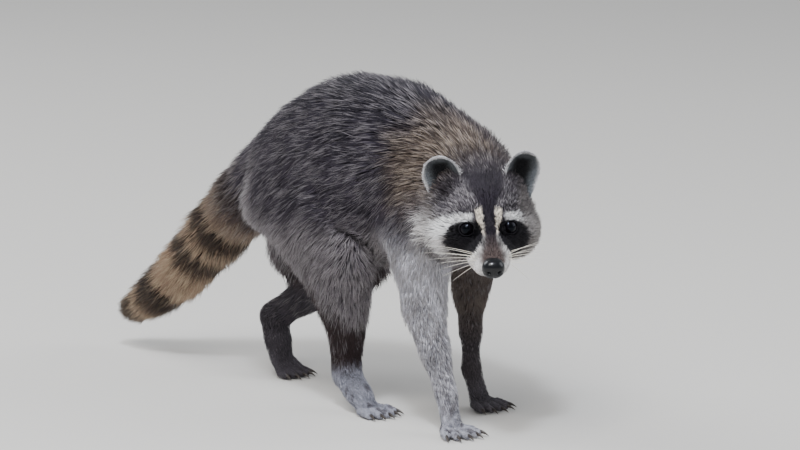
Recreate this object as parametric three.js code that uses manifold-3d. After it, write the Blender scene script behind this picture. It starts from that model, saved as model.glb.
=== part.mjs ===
// A raccoon in mid-walk: back arched, head low and turned to its right, tail trailing.
// Units are millimetres, +Z is up and the animal faces -Y, so its left side is +X.
//
// The coat's outer surface is one smooth shape: chains of tapered tubes run through the joints
// of the body and melt into each other. That shape is meshed region by region, finer where the
// forms are small, and parted into head, neck, trunk, tail and legs by thin cuts.

import * as THREE from 'three';
import { mergeVertices } from 'three/addons/utils/BufferGeometryUtils.js';
import Module from 'manifold-3d';

const wasm = await Module();
wasm.setup();

// ---------------------------------------------------------------- driving dimensions
const GAP = 0.3;                 // left open between neighbouring solids
const WELD = 0.02;               // corners closer than this are one
const BODY_CELL = 22;            // mesh spacing on trunk, neck, thighs and upper arms
const TAIL_CELL = 20;
const HEAD_CELL = 14;
const SHANK_CELL = 17.5;
const PAW_CELL = 11;
const NOSE_CELL = 5;

const HEAD_CENTRE = [-34, -194.5, 220];    // middle of the skull
const HEAD_YAW = 37.5;                     // degrees turned to its right
const HEAD_PITCH = 15;                     // degrees nose down
const HEAD_ROLL = 1.5;                     // degrees left side up

const EYE_RADIUS = 8;
const EYE_CENTRE = [20, 40, 6.3];          // in the head's frame: left, forward, up
const EYE_GAZE = [0.38, 0.91, 0.14];       // the way the left eye faces
const SOCKET_RADIUS = 9.5;                 // of the short-haired hollow in front of the eye
const SOCKET_AHEAD = 6.5;
const EAR_BASE = [34.5, -13, 13];
const EAR_TOP = [43.5, -17, 59];
const EAR_HALF_WIDTH = 21;
const EAR_CUP = 11;                        // how far the middle of the ear lies behind its rim
const EAR_HALF_THICKNESS = 2.2;
const EAR_WIDEST = 0.5;                    // share of the ear's height
const EAR_TURN = 0.4;                      // outward turn of its opening, as a slope

const DIGITS = [-2, -1, 0, 1, 2];          // five on each paw, counted from the middle one
const FORE_DIGIT = { length: 26, radius: 4.4, pitch: 5.6, spread: 13 };
const HIND_DIGIT = { length: 27, radius: 4.6, pitch: 6.0, spread: 8 };
const CLAW_LENGTH = 8;
const CLAW_START = 1.2;          // ahead of the digit's slanted tip
const CLAW_RADIUS = 1.7;

const THROAT = [-4, -58];        // the head ends on a line from the throat to the nape
const NAPE = [-44, 40];          // (forward, up in its own frame), and level below the throat
const NOSE_BACK = 85.5;          // the bare nose pad begins here, in the head's frame
const NECK_BACK = [0, -145, 218];          // the neck ends on a plane here, ahead of the
const NECK_LEAN = [0, -1, 0.33];           // shoulders, that leans forward at the chest
const TAIL_ROOT = [-8, 156, 212];          // the tail's first, second and third cuts
const TAIL_MIDDLE = [-11, 232, 147];
const TAIL_END = [-12, 303, 85];
const TAIL_REGION = [41, 56];    // radii of the cone that takes the tail from the rump
const LEG_INNER = -8;            // the plane between the left and the right legs' regions
const LEG_MARGIN = 7;            // and this far outside their own side outline
const LEG_DEPTH = 120;           // sideways
const FAR = 400;                 // well clear of the whole animal

// ---------------------------------------------------------------- small helpers
const vec = (p) => new THREE.Vector3(...p);
const mix = (a, b, t) => a.map((value, i) => value + (b[i] - value) * t);
const radians = THREE.MathUtils.degToRad;

/** The head's own axes, after yaw, pitch and roll. */
function headAxes() {
  const turn = new THREE.Euler(radians(HEAD_PITCH), -radians(HEAD_ROLL), -radians(HEAD_YAW), 'ZXY');
  const left = new THREE.Vector3(1, 0, 0).applyEuler(turn);
  const forward = new THREE.Vector3(0, -1, 0).applyEuler(turn);
  return { left, forward, up: new THREE.Vector3().crossVectors(forward, left) };
}

const HEAD = headAxes();

/** A point given in the head's frame (left, forward, up), in the animal's frame. */
function onHead([left, forward, up]) {
  return vec(HEAD_CENTRE)
    .addScaledVector(HEAD.left, left)
    .addScaledVector(HEAD.forward, forward)
    .addScaledVector(HEAD.up, up)
    .toArray();
}

// ---------------------------------------------------------------- the body's skeleton
/** A joint of a chain: its place, the flesh's half width and half height, and the coat's depth. */
const joint = (at, wide, tall, coat) => ({ at, wide: wide + coat, tall: tall + coat });

/**
 * A chain of tapered tubes through joints. `blend` is the depth over which it melts into what
 * was laid before it, and `up` is the direction that a joint's height is measured along.
 */
function chain(blend, up, joints) {
  return joints.slice(1).map((end, i) => tube(joints[i], end, blend, vec(up)));
}

function tube(start, end, blend, up) {
  const from = vec(start.at);
  const along = vec(end.at).sub(from);
  const length = along.length();
  along.normalize();
  const side = new THREE.Vector3().crossVectors(up, along).normalize();
  const top = new THREE.Vector3().crossVectors(along, side);
  return { from, along, side, top, length, start, end, blend };
}

const SIDEWAYS = [1, 0, 0];
const LENGTHWISE = [0, 1, 0];
const UPRIGHT = [0, 0, 1];

const trunk = chain(14, UPRIGHT, [
  joint([-6, 108, 226], 37, 37, 15),
  joint([-3, 72, 233], 55, 62, 16),
  joint([0, 25, 240], 63, 77, 17),
  joint([1, -25, 240], 62, 78, 17),
  joint([2, -78, 230], 54, 70, 16),
  joint([1, -116, 229], 48, 57, 15),
]);
const neck = chain(14, UPRIGHT, [
  joint([1, -116, 229], 44, 52, 15),
  joint([-14, -152, 225], 40, 44, 15),
  joint(onHead([0, -24, 2]), 36, 34, 14),
]);
const tail = chain(10, UPRIGHT, [
  joint([-6, 120, 230], 31, 32, 17),
  joint([-8, 158, 210], 17, 18, 22),
  joint([-10, 200, 176], 11, 12, 24),
  joint([-11, 246, 135], 10, 10, 24),
  joint([-12, 292, 93], 8, 8, 22),
  joint([-13, 338, 62], 6, 6, 19),
  joint([-13, 371, 44], 4, 4, 14),
]);

/** A chain whose joints are given in the head's frame. */
function headChain(blend, joints) {
  const placed = joints.map(([at, wide, tall, coat]) => joint(onHead(at), wide, tall, coat));
  return chain(blend, HEAD.up.toArray(), placed);
}

const skull = headChain(10, [
  [[0, -22, 8], 33, 29, 9],
  [[0, 10, 9], 34, 28, 6],
  [[0, 36, 2], 24, 21, 3],
]);
/** The cheeks: the ruff stands out on the side that the head turns to and is drawn flat on the other. */
const cheeks = [-1, 1].flatMap((side) => headChain(10, [
  [[side * 13, 38, -8], 16, 15, 3],
  [[side * 27, 14, -12], 19, 18, 8 - side],
  [[side * 32, -8, -14], 16, 18, 15 - 4.5 * side],
]));
const muzzle = headChain(8, [
  [[0, 40, -5], 20, 18, 3],
  [[0, 66, -10], 15.5, 12, 3],
  [[0, 84, -12.5], 11.5, 9.5, 1.6],
]);
const jaw = headChain(6, [
  [[0, 10, -28], 18, 11, 8],
  [[0, 48, -25], 12, 8, 3],
  [[0, 73, -22], 9, 6, 2],
]);
const whiskerPads = [-1, 1].flatMap((side) => headChain(5, [
  [[side * 8.5 - 1.5, 58, -16.5], 11, 10, 2],
  [[side * 7 - 1.5, 79, -17], 8, 7, 1.5],
]));
const nosePad = headChain(3, [
  [[0, 86, -11], 9.8, 8.6, 0],
  [[0, 93, -12], 10.4, 8.8, 0],
]);

/** A foreleg, in two stretches that meet halfway down the forearm. */
function foreleg({ scapula, shoulder, elbow, wrist, palm, heading, sizes }) {
  const forearm = joint(mix(elbow, wrist, 0.5), ...sizes.forearm);
  return {
    upper: [
      ...chain(16, LENGTHWISE, [scapula, joint(shoulder, 25, 32, 12)]),
      ...chain(10, LENGTHWISE, [
        joint(shoulder, 25, 32, 12),
        joint(mix(shoulder, elbow, 0.5), ...sizes.arm),
        joint(elbow, ...sizes.elbow),
        forearm,
      ]),
    ],
    lower: chain(10, LENGTHWISE, [
      forearm,
      joint(wrist, ...sizes.wrist),
      joint(palm, 11.5, 6.5, 1.5),
    ]),
    digitRoot: palm,
    digit: FORE_DIGIT,
    heading,
    bend: { at: elbow, towards: [0, -0.25, -1] },
    ankle: { at: mix(wrist, palm, 0.15), towards: [0, -0.35, -1] },
  };
}

/** A hind leg, in two stretches that meet near the middle of the shank. */
function hindleg({ hip, knee, hock, ball, hamstring, heading, bendTowards, ankleTowards }) {
  const shank = joint(mix(knee, hock, 0.45), 13, 15, 9);
  return {
    upper: [
      ...chain(10, LENGTHWISE, [
        joint(hip, 30, 44, 14),
        joint(mix(hip, knee, 0.5), 28, 38, 14),
        joint(knee, 17, 22, 13),
        shank,
      ]),
      ...chain(14, LENGTHWISE, hamstring),
    ],
    lower: chain(10, LENGTHWISE, [
      shank,
      joint(hock, 11, 11.5, 2.5),
      joint(mix(hock, ball, 0.55), 12.5, 9, 2),
      joint(ball, 14, 7, 1.5),
    ]),
    digitRoot: [ball[0], ball[1] - 3, ball[2] - 2],
    digit: HIND_DIGIT,
    heading,
    bend: { at: knee, towards: bendTowards },
    ankle: { at: hock, towards: ankleTowards },
  };
}

const LEGS = {
  fore_right: foreleg({
    scapula: joint([-34, -96, 242], 20, 26, 12),
    shoulder: [-44, -114, 200],
    elbow: [-52, -130, 118],
    wrist: [-51, -160, 40],
    palm: [-54, -172, 6.6],
    heading: -8,
    sizes: { arm: [16.5, 21, 9], elbow: [13, 16, 7], forearm: [10, 11, 4.5], wrist: [8, 7.5, 2.2] },
  }),
  fore_left: foreleg({
    scapula: joint([34, -108, 248], 22, 28, 13),
    shoulder: [40, -110, 204],
    elbow: [49, -90, 118],
    wrist: [49, -92, 40],
    palm: [51, -104, 6.6],
    heading: 6,
    sizes: { arm: [18, 21, 8], elbow: [11, 12.5, 6], forearm: [7.5, 9, 2.2], wrist: [6.8, 7, 1.8] },
  }),
  hind_right: hindleg({
    hip: [-36, 66, 224],
    knee: [-58, -20, 150],
    hock: [-43, -5, 34],
    ball: [-50, -43, 7.2],
    hamstring: [
      joint([-34, 112, 198], 18, 28, 14),
      joint([-50, 50, 190], 18, 30, 14),
      joint([-56, -6, 120], 12, 16, 14),
    ],
    heading: 2,
    bendTowards: [0, -0.3, -1],
    ankleTowards: [0, -1, -0.6],
  }),
  hind_left: hindleg({
    hip: [34, 96, 220],
    knee: [50, 72, 128],
    hock: [21, 180, 59],
    ball: [14, 160, 17],
    hamstring: [
      joint([30, 116, 205], 24, 34, 14),
      joint([30, 144, 160], 19, 26, 15),
      joint([30, 156, 130], 13, 16, 14),
      joint([35, 144, 110], 11, 12, 8),
    ],
    heading: 6,
    bendTowards: [0, 0.45, -1],
    ankleTowards: [0, -0.2, -1],
  }),
};

// ---------------------------------------------------------------- the coat's surface
/** Distance from a point to a tapered tube with an elliptic section, negative inside. */
function distanceToTube(point, { from, along, side, top, length, start, end }) {
  const offset = point.clone().sub(from);
  const reach = offset.dot(along);
  const t = THREE.MathUtils.clamp(reach / length, 0, 1);
  const wide = THREE.MathUtils.lerp(start.wide, end.wide, t);
  const tall = THREE.MathUtils.lerp(start.tall, end.tall, t);
  const x = offset.dot(side) / wide;
  const y = offset.dot(top) / tall;
  const z = (reach - t * length) / ((wide + tall) / 2);
  const scaled = Math.hypot(x, y, z);
  if (scaled < 1e-3) return -Math.min(wide, tall);
  return scaled * (scaled - 1) / Math.hypot(x / wide, y / tall, z / ((wide + tall) / 2));
}

/** Distance to several tubes, each melting into the ones before it. */
function distanceTo(tubes, point) {
  return tubes.reduce((nearest, one) => {
    const distance = distanceToTube(point, one);
    const overlap = Math.max(one.blend - Math.abs(nearest - distance), 0) / one.blend;
    return Math.min(nearest, distance) - overlap * overlap * one.blend / 4;
  }, Infinity);
}

/** The outward slope of the distance at a point. */
function slopeAt(tubes, point) {
  const step = 0.5;
  const slope = ['x', 'y', 'z'].map((axis) => {
    const ahead = point.clone();
    const behind = point.clone();
    ahead[axis] += step;
    behind[axis] -= step;
    return (distanceTo(tubes, ahead) - distanceTo(tubes, behind)) / (2 * step);
  });
  return vec(slope);
}

/**
 * A closed solid of the tubes' surface inside a box, meshed on a grid of `cell`: each grid cell
 * that the surface crosses gets one vertex, drawn onto the surface, and each grid edge that it
 * crosses joins the four cells round that edge by two triangles.
 */
function meshed(tubes, low, high, cell) {
  const count = low.map((value, i) => Math.ceil((high[i] - value) / cell) + 1);
  const [nx, ny, nz] = count;
  const index = (i, j, k) => (i * ny + j) * nz + k;
  const corner = (i, j, k) => vec([low[0] + i * cell, low[1] + j * cell, low[2] + k * cell]);
  const inside = new Uint8Array(nx * ny * nz);
  for (let i = 1; i < nx - 1; i++) {
    for (let j = 1; j < ny - 1; j++) {
      for (let k = 1; k < nz - 1; k++) {
        inside[index(i, j, k)] = distanceTo(tubes, corner(i, j, k)) < 0 ? 1 : 0;
      }
    }
  }
  fillDiagonals(inside, [ny * nz, nz, 1]);
  const positions = [];
  const triangles = [];
  const vertexOf = new Map();
  const vertexIn = (i, j, k) => {
    const key = index(i, j, k);
    if (!vertexOf.has(key)) {
      vertexOf.set(key, positions.length / 3);
      positions.push(...onSurface(tubes, corner(i + 0.5, j + 0.5, k + 0.5), cell).toArray());
    }
    return vertexOf.get(key);
  };
  const steps = [[1, 0, 0], [0, 1, 0], [0, 0, 1]];
  for (let i = 0; i < nx - 1; i++) {
    for (let j = 0; j < ny - 1; j++) {
      for (let k = 0; k < nz - 1; k++) {
        const here = inside[index(i, j, k)];
        steps.forEach((step, axis) => {
          const there = inside[index(i + step[0], j + step[1], k + step[2])];
          if (here === there) return;
          const [a, b] = [steps[(axis + 1) % 3], steps[(axis + 2) % 3]];
          const ring = [[0, 0], [1, 0], [1, 1], [0, 1]].map(([p, q]) => (
            vertexIn(i - p * a[0] - q * b[0], j - p * a[1] - q * b[1], k - p * a[2] - q * b[2])));
          if (there) ring.reverse();
          triangles.push(ring[0], ring[1], ring[2], ring[0], ring[2], ring[3]);
        });
      }
    }
  }
  return solid(positions, triangles);
}

/**
 * Fills grid corners until no grid square has only its two opposite corners inside, because the
 * surface would touch itself along an edge there. `strides` are the index steps along each axis.
 */
function fillDiagonals(inside, strides) {
  const last = inside.length - strides[0] - strides[1];
  let filled = 0;
  for (let here = 0; here < last; here++) {
    strides.forEach((a, axis) => {
      const b = strides[(axis + 1) % 3];
      const [near, far, left, right] = [here, here + a + b, here + a, here + b].map((i) => inside[i]);
      if (near !== far || left !== right || near === left) return;
      inside[near ? here + a : here] = 1;
      filled += 1;
    });
  }
  if (filled) fillDiagonals(inside, strides);
}

/** A cell's middle drawn onto the surface, without leaving the cell's neighbourhood. */
function onSurface(tubes, middle, cell) {
  const point = middle.clone();
  for (let round = 0; round < 3; round++) {
    const slope = slopeAt(tubes, point);
    point.addScaledVector(slope, -distanceTo(tubes, point) / Math.max(slope.lengthSq(), 0.1));
  }
  const drift = point.clone().sub(middle);
  return middle.clone().add(drift.clampLength(0, 0.8 * cell));
}

// ---------------------------------------------------------------- solids and cuts
/** A manifold solid from flat arrays, turned so that its faces point out. */
function solid(positions, triangles) {
  const triVerts = new Uint32Array(triangles);
  if (signedVolume(positions, triVerts) < 0) triVerts.reverse();
  const vertProperties = new Float32Array(positions);
  return new wasm.Manifold(new wasm.Mesh({ numProp: 3, vertProperties, triVerts }));
}

function signedVolume(positions, triangles) {
  const at = (i) => new THREE.Vector3().fromArray(positions, 3 * i);
  let sum = 0;
  for (let i = 0; i < triangles.length; i += 3) {
    sum += at(triangles[i]).dot(at(triangles[i + 1]).cross(at(triangles[i + 2])));
  }
  return sum / 6;
}

/** A solid from a closed three.js geometry. */
function fromGeometry(geometry) {
  const bare = new THREE.BufferGeometry();
  bare.setAttribute('position', geometry.getAttribute('position'));
  bare.setIndex(geometry.getIndex());
  const merged = mergeVertices(bare, 1e-3);
  return solid([...merged.getAttribute('position').array], [...merged.getIndex().array]);
}

/** A closed solid through rings of equal counts, its ends closed by fans. */
function loft(rings) {
  const sides = rings[0].length;
  const positions = rings.flat().flatMap((point) => point.toArray());
  const triangles = [];
  for (let r = 0; r < rings.length - 1; r++) {
    for (let s = 0; s < sides; s++) {
      const [a, b] = [r * sides + s, r * sides + (s + 1) % sides];
      triangles.push(a, b, b + sides, a, b + sides, a + sides);
    }
  }
  [0, rings.length - 1].forEach((r, end) => {
    const centre = positions.length / 3;
    const middle = rings[r].reduce((sum, point) => sum.add(point), new THREE.Vector3());
    positions.push(...middle.divideScalar(sides).toArray());
    for (let s = 0; s < sides; s++) {
      const edge = [r * sides + s, r * sides + (s + 1) % sides];
      if (end) edge.reverse();
      triangles.push(centre, edge[1], edge[0]);
    }
  });
  return solid(positions, triangles);
}

/** A round tapering rod through points, with a radius at each. */
function rod(points, radii, sides) {
  const rings = points.map((point, i) => {
    const along = points[Math.min(i + 1, points.length - 1)].clone()
      .sub(points[Math.max(i - 1, 0)]).normalize();
    const side = new THREE.Vector3(0, 0, 1).cross(along).normalize();
    const top = along.clone().cross(side);
    return Array.from({ length: sides }, (_, s) => {
      const angle = (s + 0.5) * 2 * Math.PI / sides;
      return point.clone().addScaledVector(side, radii[i] * Math.cos(angle))
        .addScaledVector(top, radii[i] * Math.sin(angle));
    });
  });
  return loft(rings);
}

/** What lies on the side that the plane's direction points to, half a gap clear of it. */
function beyond(piece, plane) {
  const normal = vec(plane.towards).normalize();
  return piece.trimByPlane(normal.toArray(), normal.dot(vec(plane.at)) + GAP / 2);
}

/** What lies on the other side of the plane, half a gap clear of it. */
function before(piece, plane) {
  const normal = vec(plane.towards).normalize().negate();
  return piece.trimByPlane(normal.toArray(), normal.dot(vec(plane.at)) + GAP / 2);
}

/**
 * A region that follows a leg's side outline: for each of its upper tubes the outline of two
 * joined circles, carried sideways from near the middle plane to well clear of the body.
 */
function legRegion(leg, side, extra) {
  const axes = [LENGTHWISE, UPRIGHT, SIDEWAYS].map(vec);
  const start = LEG_INNER + side * (GAP / 2 - extra) - (side < 0 ? LEG_DEPTH : 0);
  return leg.upper.map((one) => {
    const outline = joinedCircles(one, LEG_MARGIN + extra);
    const settings = { depth: LEG_DEPTH, bevelEnabled: false, curveSegments: 3 };
    const slab = new THREE.ExtrudeGeometry(outline, settings);
    slab.applyMatrix4(new THREE.Matrix4().makeBasis(...axes));
    return fromGeometry(slab.translate(start, 0, 0));
  }).reduce((whole, slab) => whole.add(slab));
}

/** The side outline of a tube: two circles joined by straight lines. */
function joinedCircles({ start, end }, margin) {
  const [, y0, z0] = start.at;
  const [, y1, z1] = end.at;
  const r0 = Math.max(start.wide, start.tall) + margin;
  const r1 = Math.max(end.wide, end.tall) + margin;
  const heading = Math.atan2(z1 - z0, y1 - y0);
  const lean = Math.acos((r0 - r1) / Math.hypot(y1 - y0, z1 - z0));
  const shape = new THREE.Shape();
  shape.absarc(y0, z0, r0, heading + lean, heading - lean + 2 * Math.PI, false);
  shape.absarc(y1, z1, r1, heading - lean, heading + lean, false);
  return shape;
}

// ---------------------------------------------------------------- eyes, ears, digits and claws
/** An eyeball in its socket. */
function eyeball(side, extra) {
  const [left, forward, up] = EYE_CENTRE;
  const ball = new THREE.SphereGeometry(EYE_RADIUS + extra, 10, 6);
  return fromGeometry(ball.translate(...onHead([side * left, forward, up])));
}

/** The hollow that the coat leaves open in front of an eye. */
function socket(side) {
  const [x, y, z] = EYE_CENTRE.map((value, i) => value + SOCKET_AHEAD * EYE_GAZE[i]);
  const hollow = new THREE.SphereGeometry(SOCKET_RADIUS, 10, 6);
  return fromGeometry(hollow.translate(...onHead([side * x, y, z])));
}

/** A cupped ear: flat rings stacked from its root to its round top, hollow towards the front. */
function ear(side, extra) {
  const [base, top] = [EAR_BASE, EAR_TOP].map(([x, y, z]) => vec(onHead([side * x, y, z])));
  const rise = top.clone().sub(base);
  const facing = HEAD.forward.clone().addScaledVector(HEAD.left, side * EAR_TURN);
  facing.addScaledVector(rise, -facing.dot(rise) / rise.lengthSq()).normalize();
  const across = rise.clone().cross(facing).normalize();
  const levels = [0, 0.2, 0.5, 0.72, 0.88, 1];
  const rings = levels.map((level) => {
    const shoulder = Math.max(level - EAR_WIDEST, 0) / (1 - EAR_WIDEST);
    const width = 0.78 + 0.22 * Math.min(level / EAR_WIDEST, 1);
    const open = width * Math.sqrt(1.02 - shoulder ** 2);
    const cup = EAR_CUP * open * Math.min(5 * level, 1);
    return Array.from({ length: 12 }, (_, s) => {
      const angle = (s + 0.5) * 2 * Math.PI / 12;
      const half = EAR_HALF_WIDTH * open;
      const aside = Math.cos(angle) * (half + 1.5 * extra);
      const face = Math.sign(Math.sin(angle)) * Math.sqrt(Math.abs(Math.sin(angle)));
      const depth = face * (EAR_HALF_THICKNESS + 3 * extra) - cup * (1 - (aside / half) ** 2);
      return base.clone().addScaledVector(rise, level + (level - 0.5) * 4 * extra / rise.length())
        .addScaledVector(across, aside)
        .addScaledVector(facing, depth);
    });
  });
  return loft(rings);
}

/** Where a digit starts and which way it points. */
function digitLine(leg, number) {
  const turn = radians(leg.heading + number * leg.digit.spread);
  const sideways = radians(leg.heading);
  const start = vec(leg.digitRoot)
    .add(vec([Math.cos(sideways), Math.sin(sideways), 0]).multiplyScalar(number * leg.digit.pitch));
  const length = leg.digit.length * (1 - 0.06 * number ** 2);
  return { start, length, heading: vec([Math.sin(turn), -Math.cos(turn), 0]) };
}

/** A digit from the paw to its tip, arched over its middle joint. */
function digit(leg, number) {
  const { start, length, heading } = digitLine(leg, number);
  const { radius } = leg.digit;
  const at = (share, height) => start.clone().addScaledVector(heading, share * length).setZ(height);
  const points = [start, at(0.55, 5.6), at(1, 2.4)];
  return rod(points, [radius, radius, 0.85 * radius], 6);
}

/** A short claw that curves down from the tip of its digit. */
function claw(leg, number) {
  const { start, length, heading } = digitLine(leg, number);
  const at = (share, height) => start.clone()
    .addScaledVector(heading, length + CLAW_START + share * CLAW_LENGTH).setZ(height);
  const points = [at(0, 3.3), at(0.6, 2.9), at(1, 1)];
  return rod(points, [1, 0.75, 0.15].map((share) => share * CLAW_RADIUS), 5);
}

// ---------------------------------------------------------------- parting the body
const COLOURS = {
  back: '#4f494b', flank: '#6a6364', face: '#8b8684', tail: '#6e5d4c', shank: '#3b3230',
  paw: '#8d8f96', ear: '#5a5657', nose: '#121317', eye: '#0c0a0b', claw: '#2b2523',
};
const raccoon = new THREE.Group();

/** The faces of a solid, with corners closer than the weld joined and flattened faces dropped. */
function weldedGeometry(piece) {
  const { vertProperties, triVerts } = piece.getMesh();
  const bare = new THREE.BufferGeometry();
  bare.setAttribute('position', new THREE.BufferAttribute(vertProperties, 3));
  bare.setIndex(new THREE.BufferAttribute(triVerts, 1));
  const geometry = mergeVertices(bare, WELD);
  const corners = [...geometry.getIndex().array];
  const kept = corners.flatMap((a, i) => {
    const [b, c] = [corners[i + 1], corners[i + 2]];
    return i % 3 === 0 && a !== b && b !== c && c !== a ? [a, b, c] : [];
  });
  geometry.setIndex(kept);
  geometry.computeVertexNormals();
  return geometry;
}

/** Adds a piece to the animal as a named mesh. */
function add(name, piece, colour, roughness = 0.9) {
  const material = new THREE.MeshStandardMaterial({ color: colour, roughness, metalness: 0 });
  const mesh = new THREE.Mesh(weldedGeometry(piece), material);
  mesh.name = name;
  raccoon.add(mesh);
}

const legTubes = Object.values(LEGS).flatMap((leg) => leg.upper);
const headTubes = [...skull, ...cheeks, ...muzzle, ...jaw, ...whiskerPads];
const bodyTubes = [...trunk, ...neck, ...headTubes, ...tail, ...legTubes];
let rest = meshed(bodyTubes, [-130, -320, 10], [130, 410, 350], BODY_CELL);

/** Takes a region out of what is left of the body and gives back what lay in it. */
function take(region) {
  const taken = rest.intersect(region(0));
  rest = rest.subtract(region(GAP));
  return taken;
}

/** The region of the head: its side outline, open to the front and top, carried sideways. */
function headRegion(extra) {
  const slope = (NAPE[0] - THROAT[0]) / (NAPE[1] - THROAT[1]);
  const outline = new THREE.Shape([
    new THREE.Vector2(...THROAT),
    new THREE.Vector2(FAR, THROAT[1]),
    new THREE.Vector2(FAR, FAR),
    new THREE.Vector2(THROAT[0] + slope * (FAR - THROAT[1]), FAR),
  ]);
  const slab = new THREE.ExtrudeGeometry(outline, { depth: 2 * FAR, bevelEnabled: false });
  slab.translate(-1.2 * extra, -extra, -FAR);
  const frame = new THREE.Matrix4().makeBasis(HEAD.forward, HEAD.up, HEAD.left);
  return fromGeometry(slab.applyMatrix4(frame.setPosition(...HEAD_CENTRE)));
}

function addHead() {
  take(headRegion);
  const middle = onHead([0, 25, 0]);
  const nosePlane = { at: onHead([0, NOSE_BACK, 0]), towards: HEAD.forward.toArray() };
  const reach = 125;
  const low = middle.map((value) => value - reach);
  const high = middle.map((value) => value + reach);
  const fine = meshed(bodyTubes, low, high, HEAD_CELL);
  let head = before(fine.intersect(headRegion(0)), nosePlane);
  for (const [side, name] of [[-1, 'right'], [1, 'left']]) {
    head = head.subtract(socket(side)).subtract(eyeball(side, GAP)).subtract(ear(side, GAP));
    add(`eye_${name}`, eyeball(side, 0), COLOURS.eye, 0.1);
    add(`ear_${name}`, ear(side, 0), COLOURS.ear);
  }
  add('head', head, COLOURS.face);
  const tip = onHead([0, 90, -12]);
  const pad = meshed(nosePad, tip.map((value) => value - 24), tip.map((value) => value + 24), NOSE_CELL);
  add('nose', beyond(pad, nosePlane), COLOURS.nose, 0.3);
}

function addNeck() {
  const cut = { at: NECK_BACK, towards: NECK_LEAN };
  add('neck', beyond(rest, cut), COLOURS.flank);
  rest = before(rest, cut);
}

const LEG_PARTS = {
  fore: ['upper_arm', 'forearm', 'forepaw'],
  hind: ['thigh', 'shank', 'hind_foot'],
};

/** A leg's three lengths, with its digits joined to the paw and a claw on each of them. */
function addLeg(key) {
  const leg = LEGS[key];
  const [pair, name] = key.split('_');
  const [upperName, lowerName, pawName] = LEG_PARTS[pair].map((part) => `${part}_${name}`);
  const side = name === 'left' ? 1 : -1;
  const upper = take((extra) => legRegion(leg, side, extra));
  add(upperName, before(upper, leg.bend), COLOURS.flank);

  const tubes = [...leg.upper, ...leg.lower];
  const [low, high] = roundJoints(tubes, 55);
  const shank = meshed(tubes, low, high, SHANK_CELL).subtract(tailRegion(GAP));
  add(lowerName, before(beyond(shank, leg.bend), leg.ankle), COLOURS.shank);

  const [pawLow, pawHigh] = roundJoints(leg.lower.slice(1), 22);
  const foot = beyond(meshed(tubes, pawLow, pawHigh, PAW_CELL), leg.ankle);
  const paw = DIGITS.reduce((whole, number) => whole.add(digit(leg, number)), foot);
  add(pawName, paw.trimByPlane(UPRIGHT, 0), COLOURS.paw);
  for (const number of DIGITS) {
    add(`claw_${pair}_${name}_${number + 3}`, claw(leg, number), COLOURS.claw, 0.4);
  }
}

/** The low and high corners of a box round the joints of some tubes. */
function roundJoints(tubes, margin) {
  const box = new THREE.Box3().setFromPoints(tubes.flatMap(({ start, end }) => [
    vec(start.at), vec(end.at),
  ]));
  box.expandByScalar(margin);
  return [box.min.toArray(), box.max.toArray()];
}

/** The region of the tail: a cone that widens away from the tail's root. */
function tailRegion(extra) {
  const along = vec(TAIL_END).sub(vec(TAIL_ROOT)).normalize();
  const [near, far] = TAIL_REGION.map((radius) => radius + extra);
  const cone = new THREE.CylinderGeometry(far, near, FAR, 24).translate(0, FAR / 2 - extra, 0);
  const turn = new THREE.Quaternion().setFromUnitVectors(vec(LENGTHWISE), along);
  return fromGeometry(cone.applyQuaternion(turn).translate(...TAIL_ROOT));
}

function addTail() {
  const along = vec(TAIL_END).sub(vec(TAIL_ROOT));
  take(tailRegion);
  const fine = meshed([...trunk, ...tail], ...roundJoints(tail, 50), TAIL_CELL);
  const whole = fine.intersect(tailRegion(0));
  const middleCut = { at: TAIL_MIDDLE, towards: along.toArray() };
  const endCut = { at: TAIL_END, towards: along.toArray() };
  add('tail_base', before(whole, middleCut), COLOURS.tail);
  add('tail_middle', before(beyond(whole, middleCut), endCut), COLOURS.tail);
  add('tail_tip', beyond(whole, endCut), COLOURS.tail);
}

addHead();
addNeck();
addTail();
Object.keys(LEGS).forEach(addLeg);
// What is left is the trunk, without the crumbs between the tail's and a leg's regions.
const [main] = rest.decompose().sort((a, b) => b.volume() - a.volume());
add('trunk', main, COLOURS.back);

// The origin is the middle of the floor under the animal.
const bounds = new THREE.Box3().setFromObject(raccoon);
const middle = bounds.getCenter(new THREE.Vector3());
raccoon.position.set(-middle.x, -middle.y, -bounds.min.z);

export default raccoon;
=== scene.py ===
import bpy
import numpy as np
from mathutils import Matrix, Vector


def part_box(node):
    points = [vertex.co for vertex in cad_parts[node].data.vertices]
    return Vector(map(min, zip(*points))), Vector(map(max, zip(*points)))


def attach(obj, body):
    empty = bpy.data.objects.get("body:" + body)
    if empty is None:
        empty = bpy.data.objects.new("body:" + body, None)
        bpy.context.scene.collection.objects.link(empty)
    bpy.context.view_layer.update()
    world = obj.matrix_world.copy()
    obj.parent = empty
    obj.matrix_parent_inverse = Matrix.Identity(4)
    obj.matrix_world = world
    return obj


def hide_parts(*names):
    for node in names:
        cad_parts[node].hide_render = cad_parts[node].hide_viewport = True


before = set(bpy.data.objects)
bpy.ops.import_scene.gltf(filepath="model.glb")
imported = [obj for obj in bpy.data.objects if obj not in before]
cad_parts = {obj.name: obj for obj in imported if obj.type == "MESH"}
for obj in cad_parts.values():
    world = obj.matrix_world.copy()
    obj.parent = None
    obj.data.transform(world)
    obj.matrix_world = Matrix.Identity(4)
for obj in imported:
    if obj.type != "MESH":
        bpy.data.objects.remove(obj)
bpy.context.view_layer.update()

# A life-size raccoon in mid-walk. Lengths are millimetres in the animal's own frame (it faces
# -Y, its left side is +X, the floor is z = 0) until a mesh is made, which is in metres.
scene = bpy.context.scene
random = np.random.default_rng(7)


# ------------------------------------------------------------------ small helpers
def array(*values):
    """A row of decimal numbers."""
    return np.array(values, float)


def unit(rows):
    """Each row divided by its length."""
    return rows / np.maximum(np.linalg.norm(rows, axis=-1, keepdims=True), 1e-9)


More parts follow.
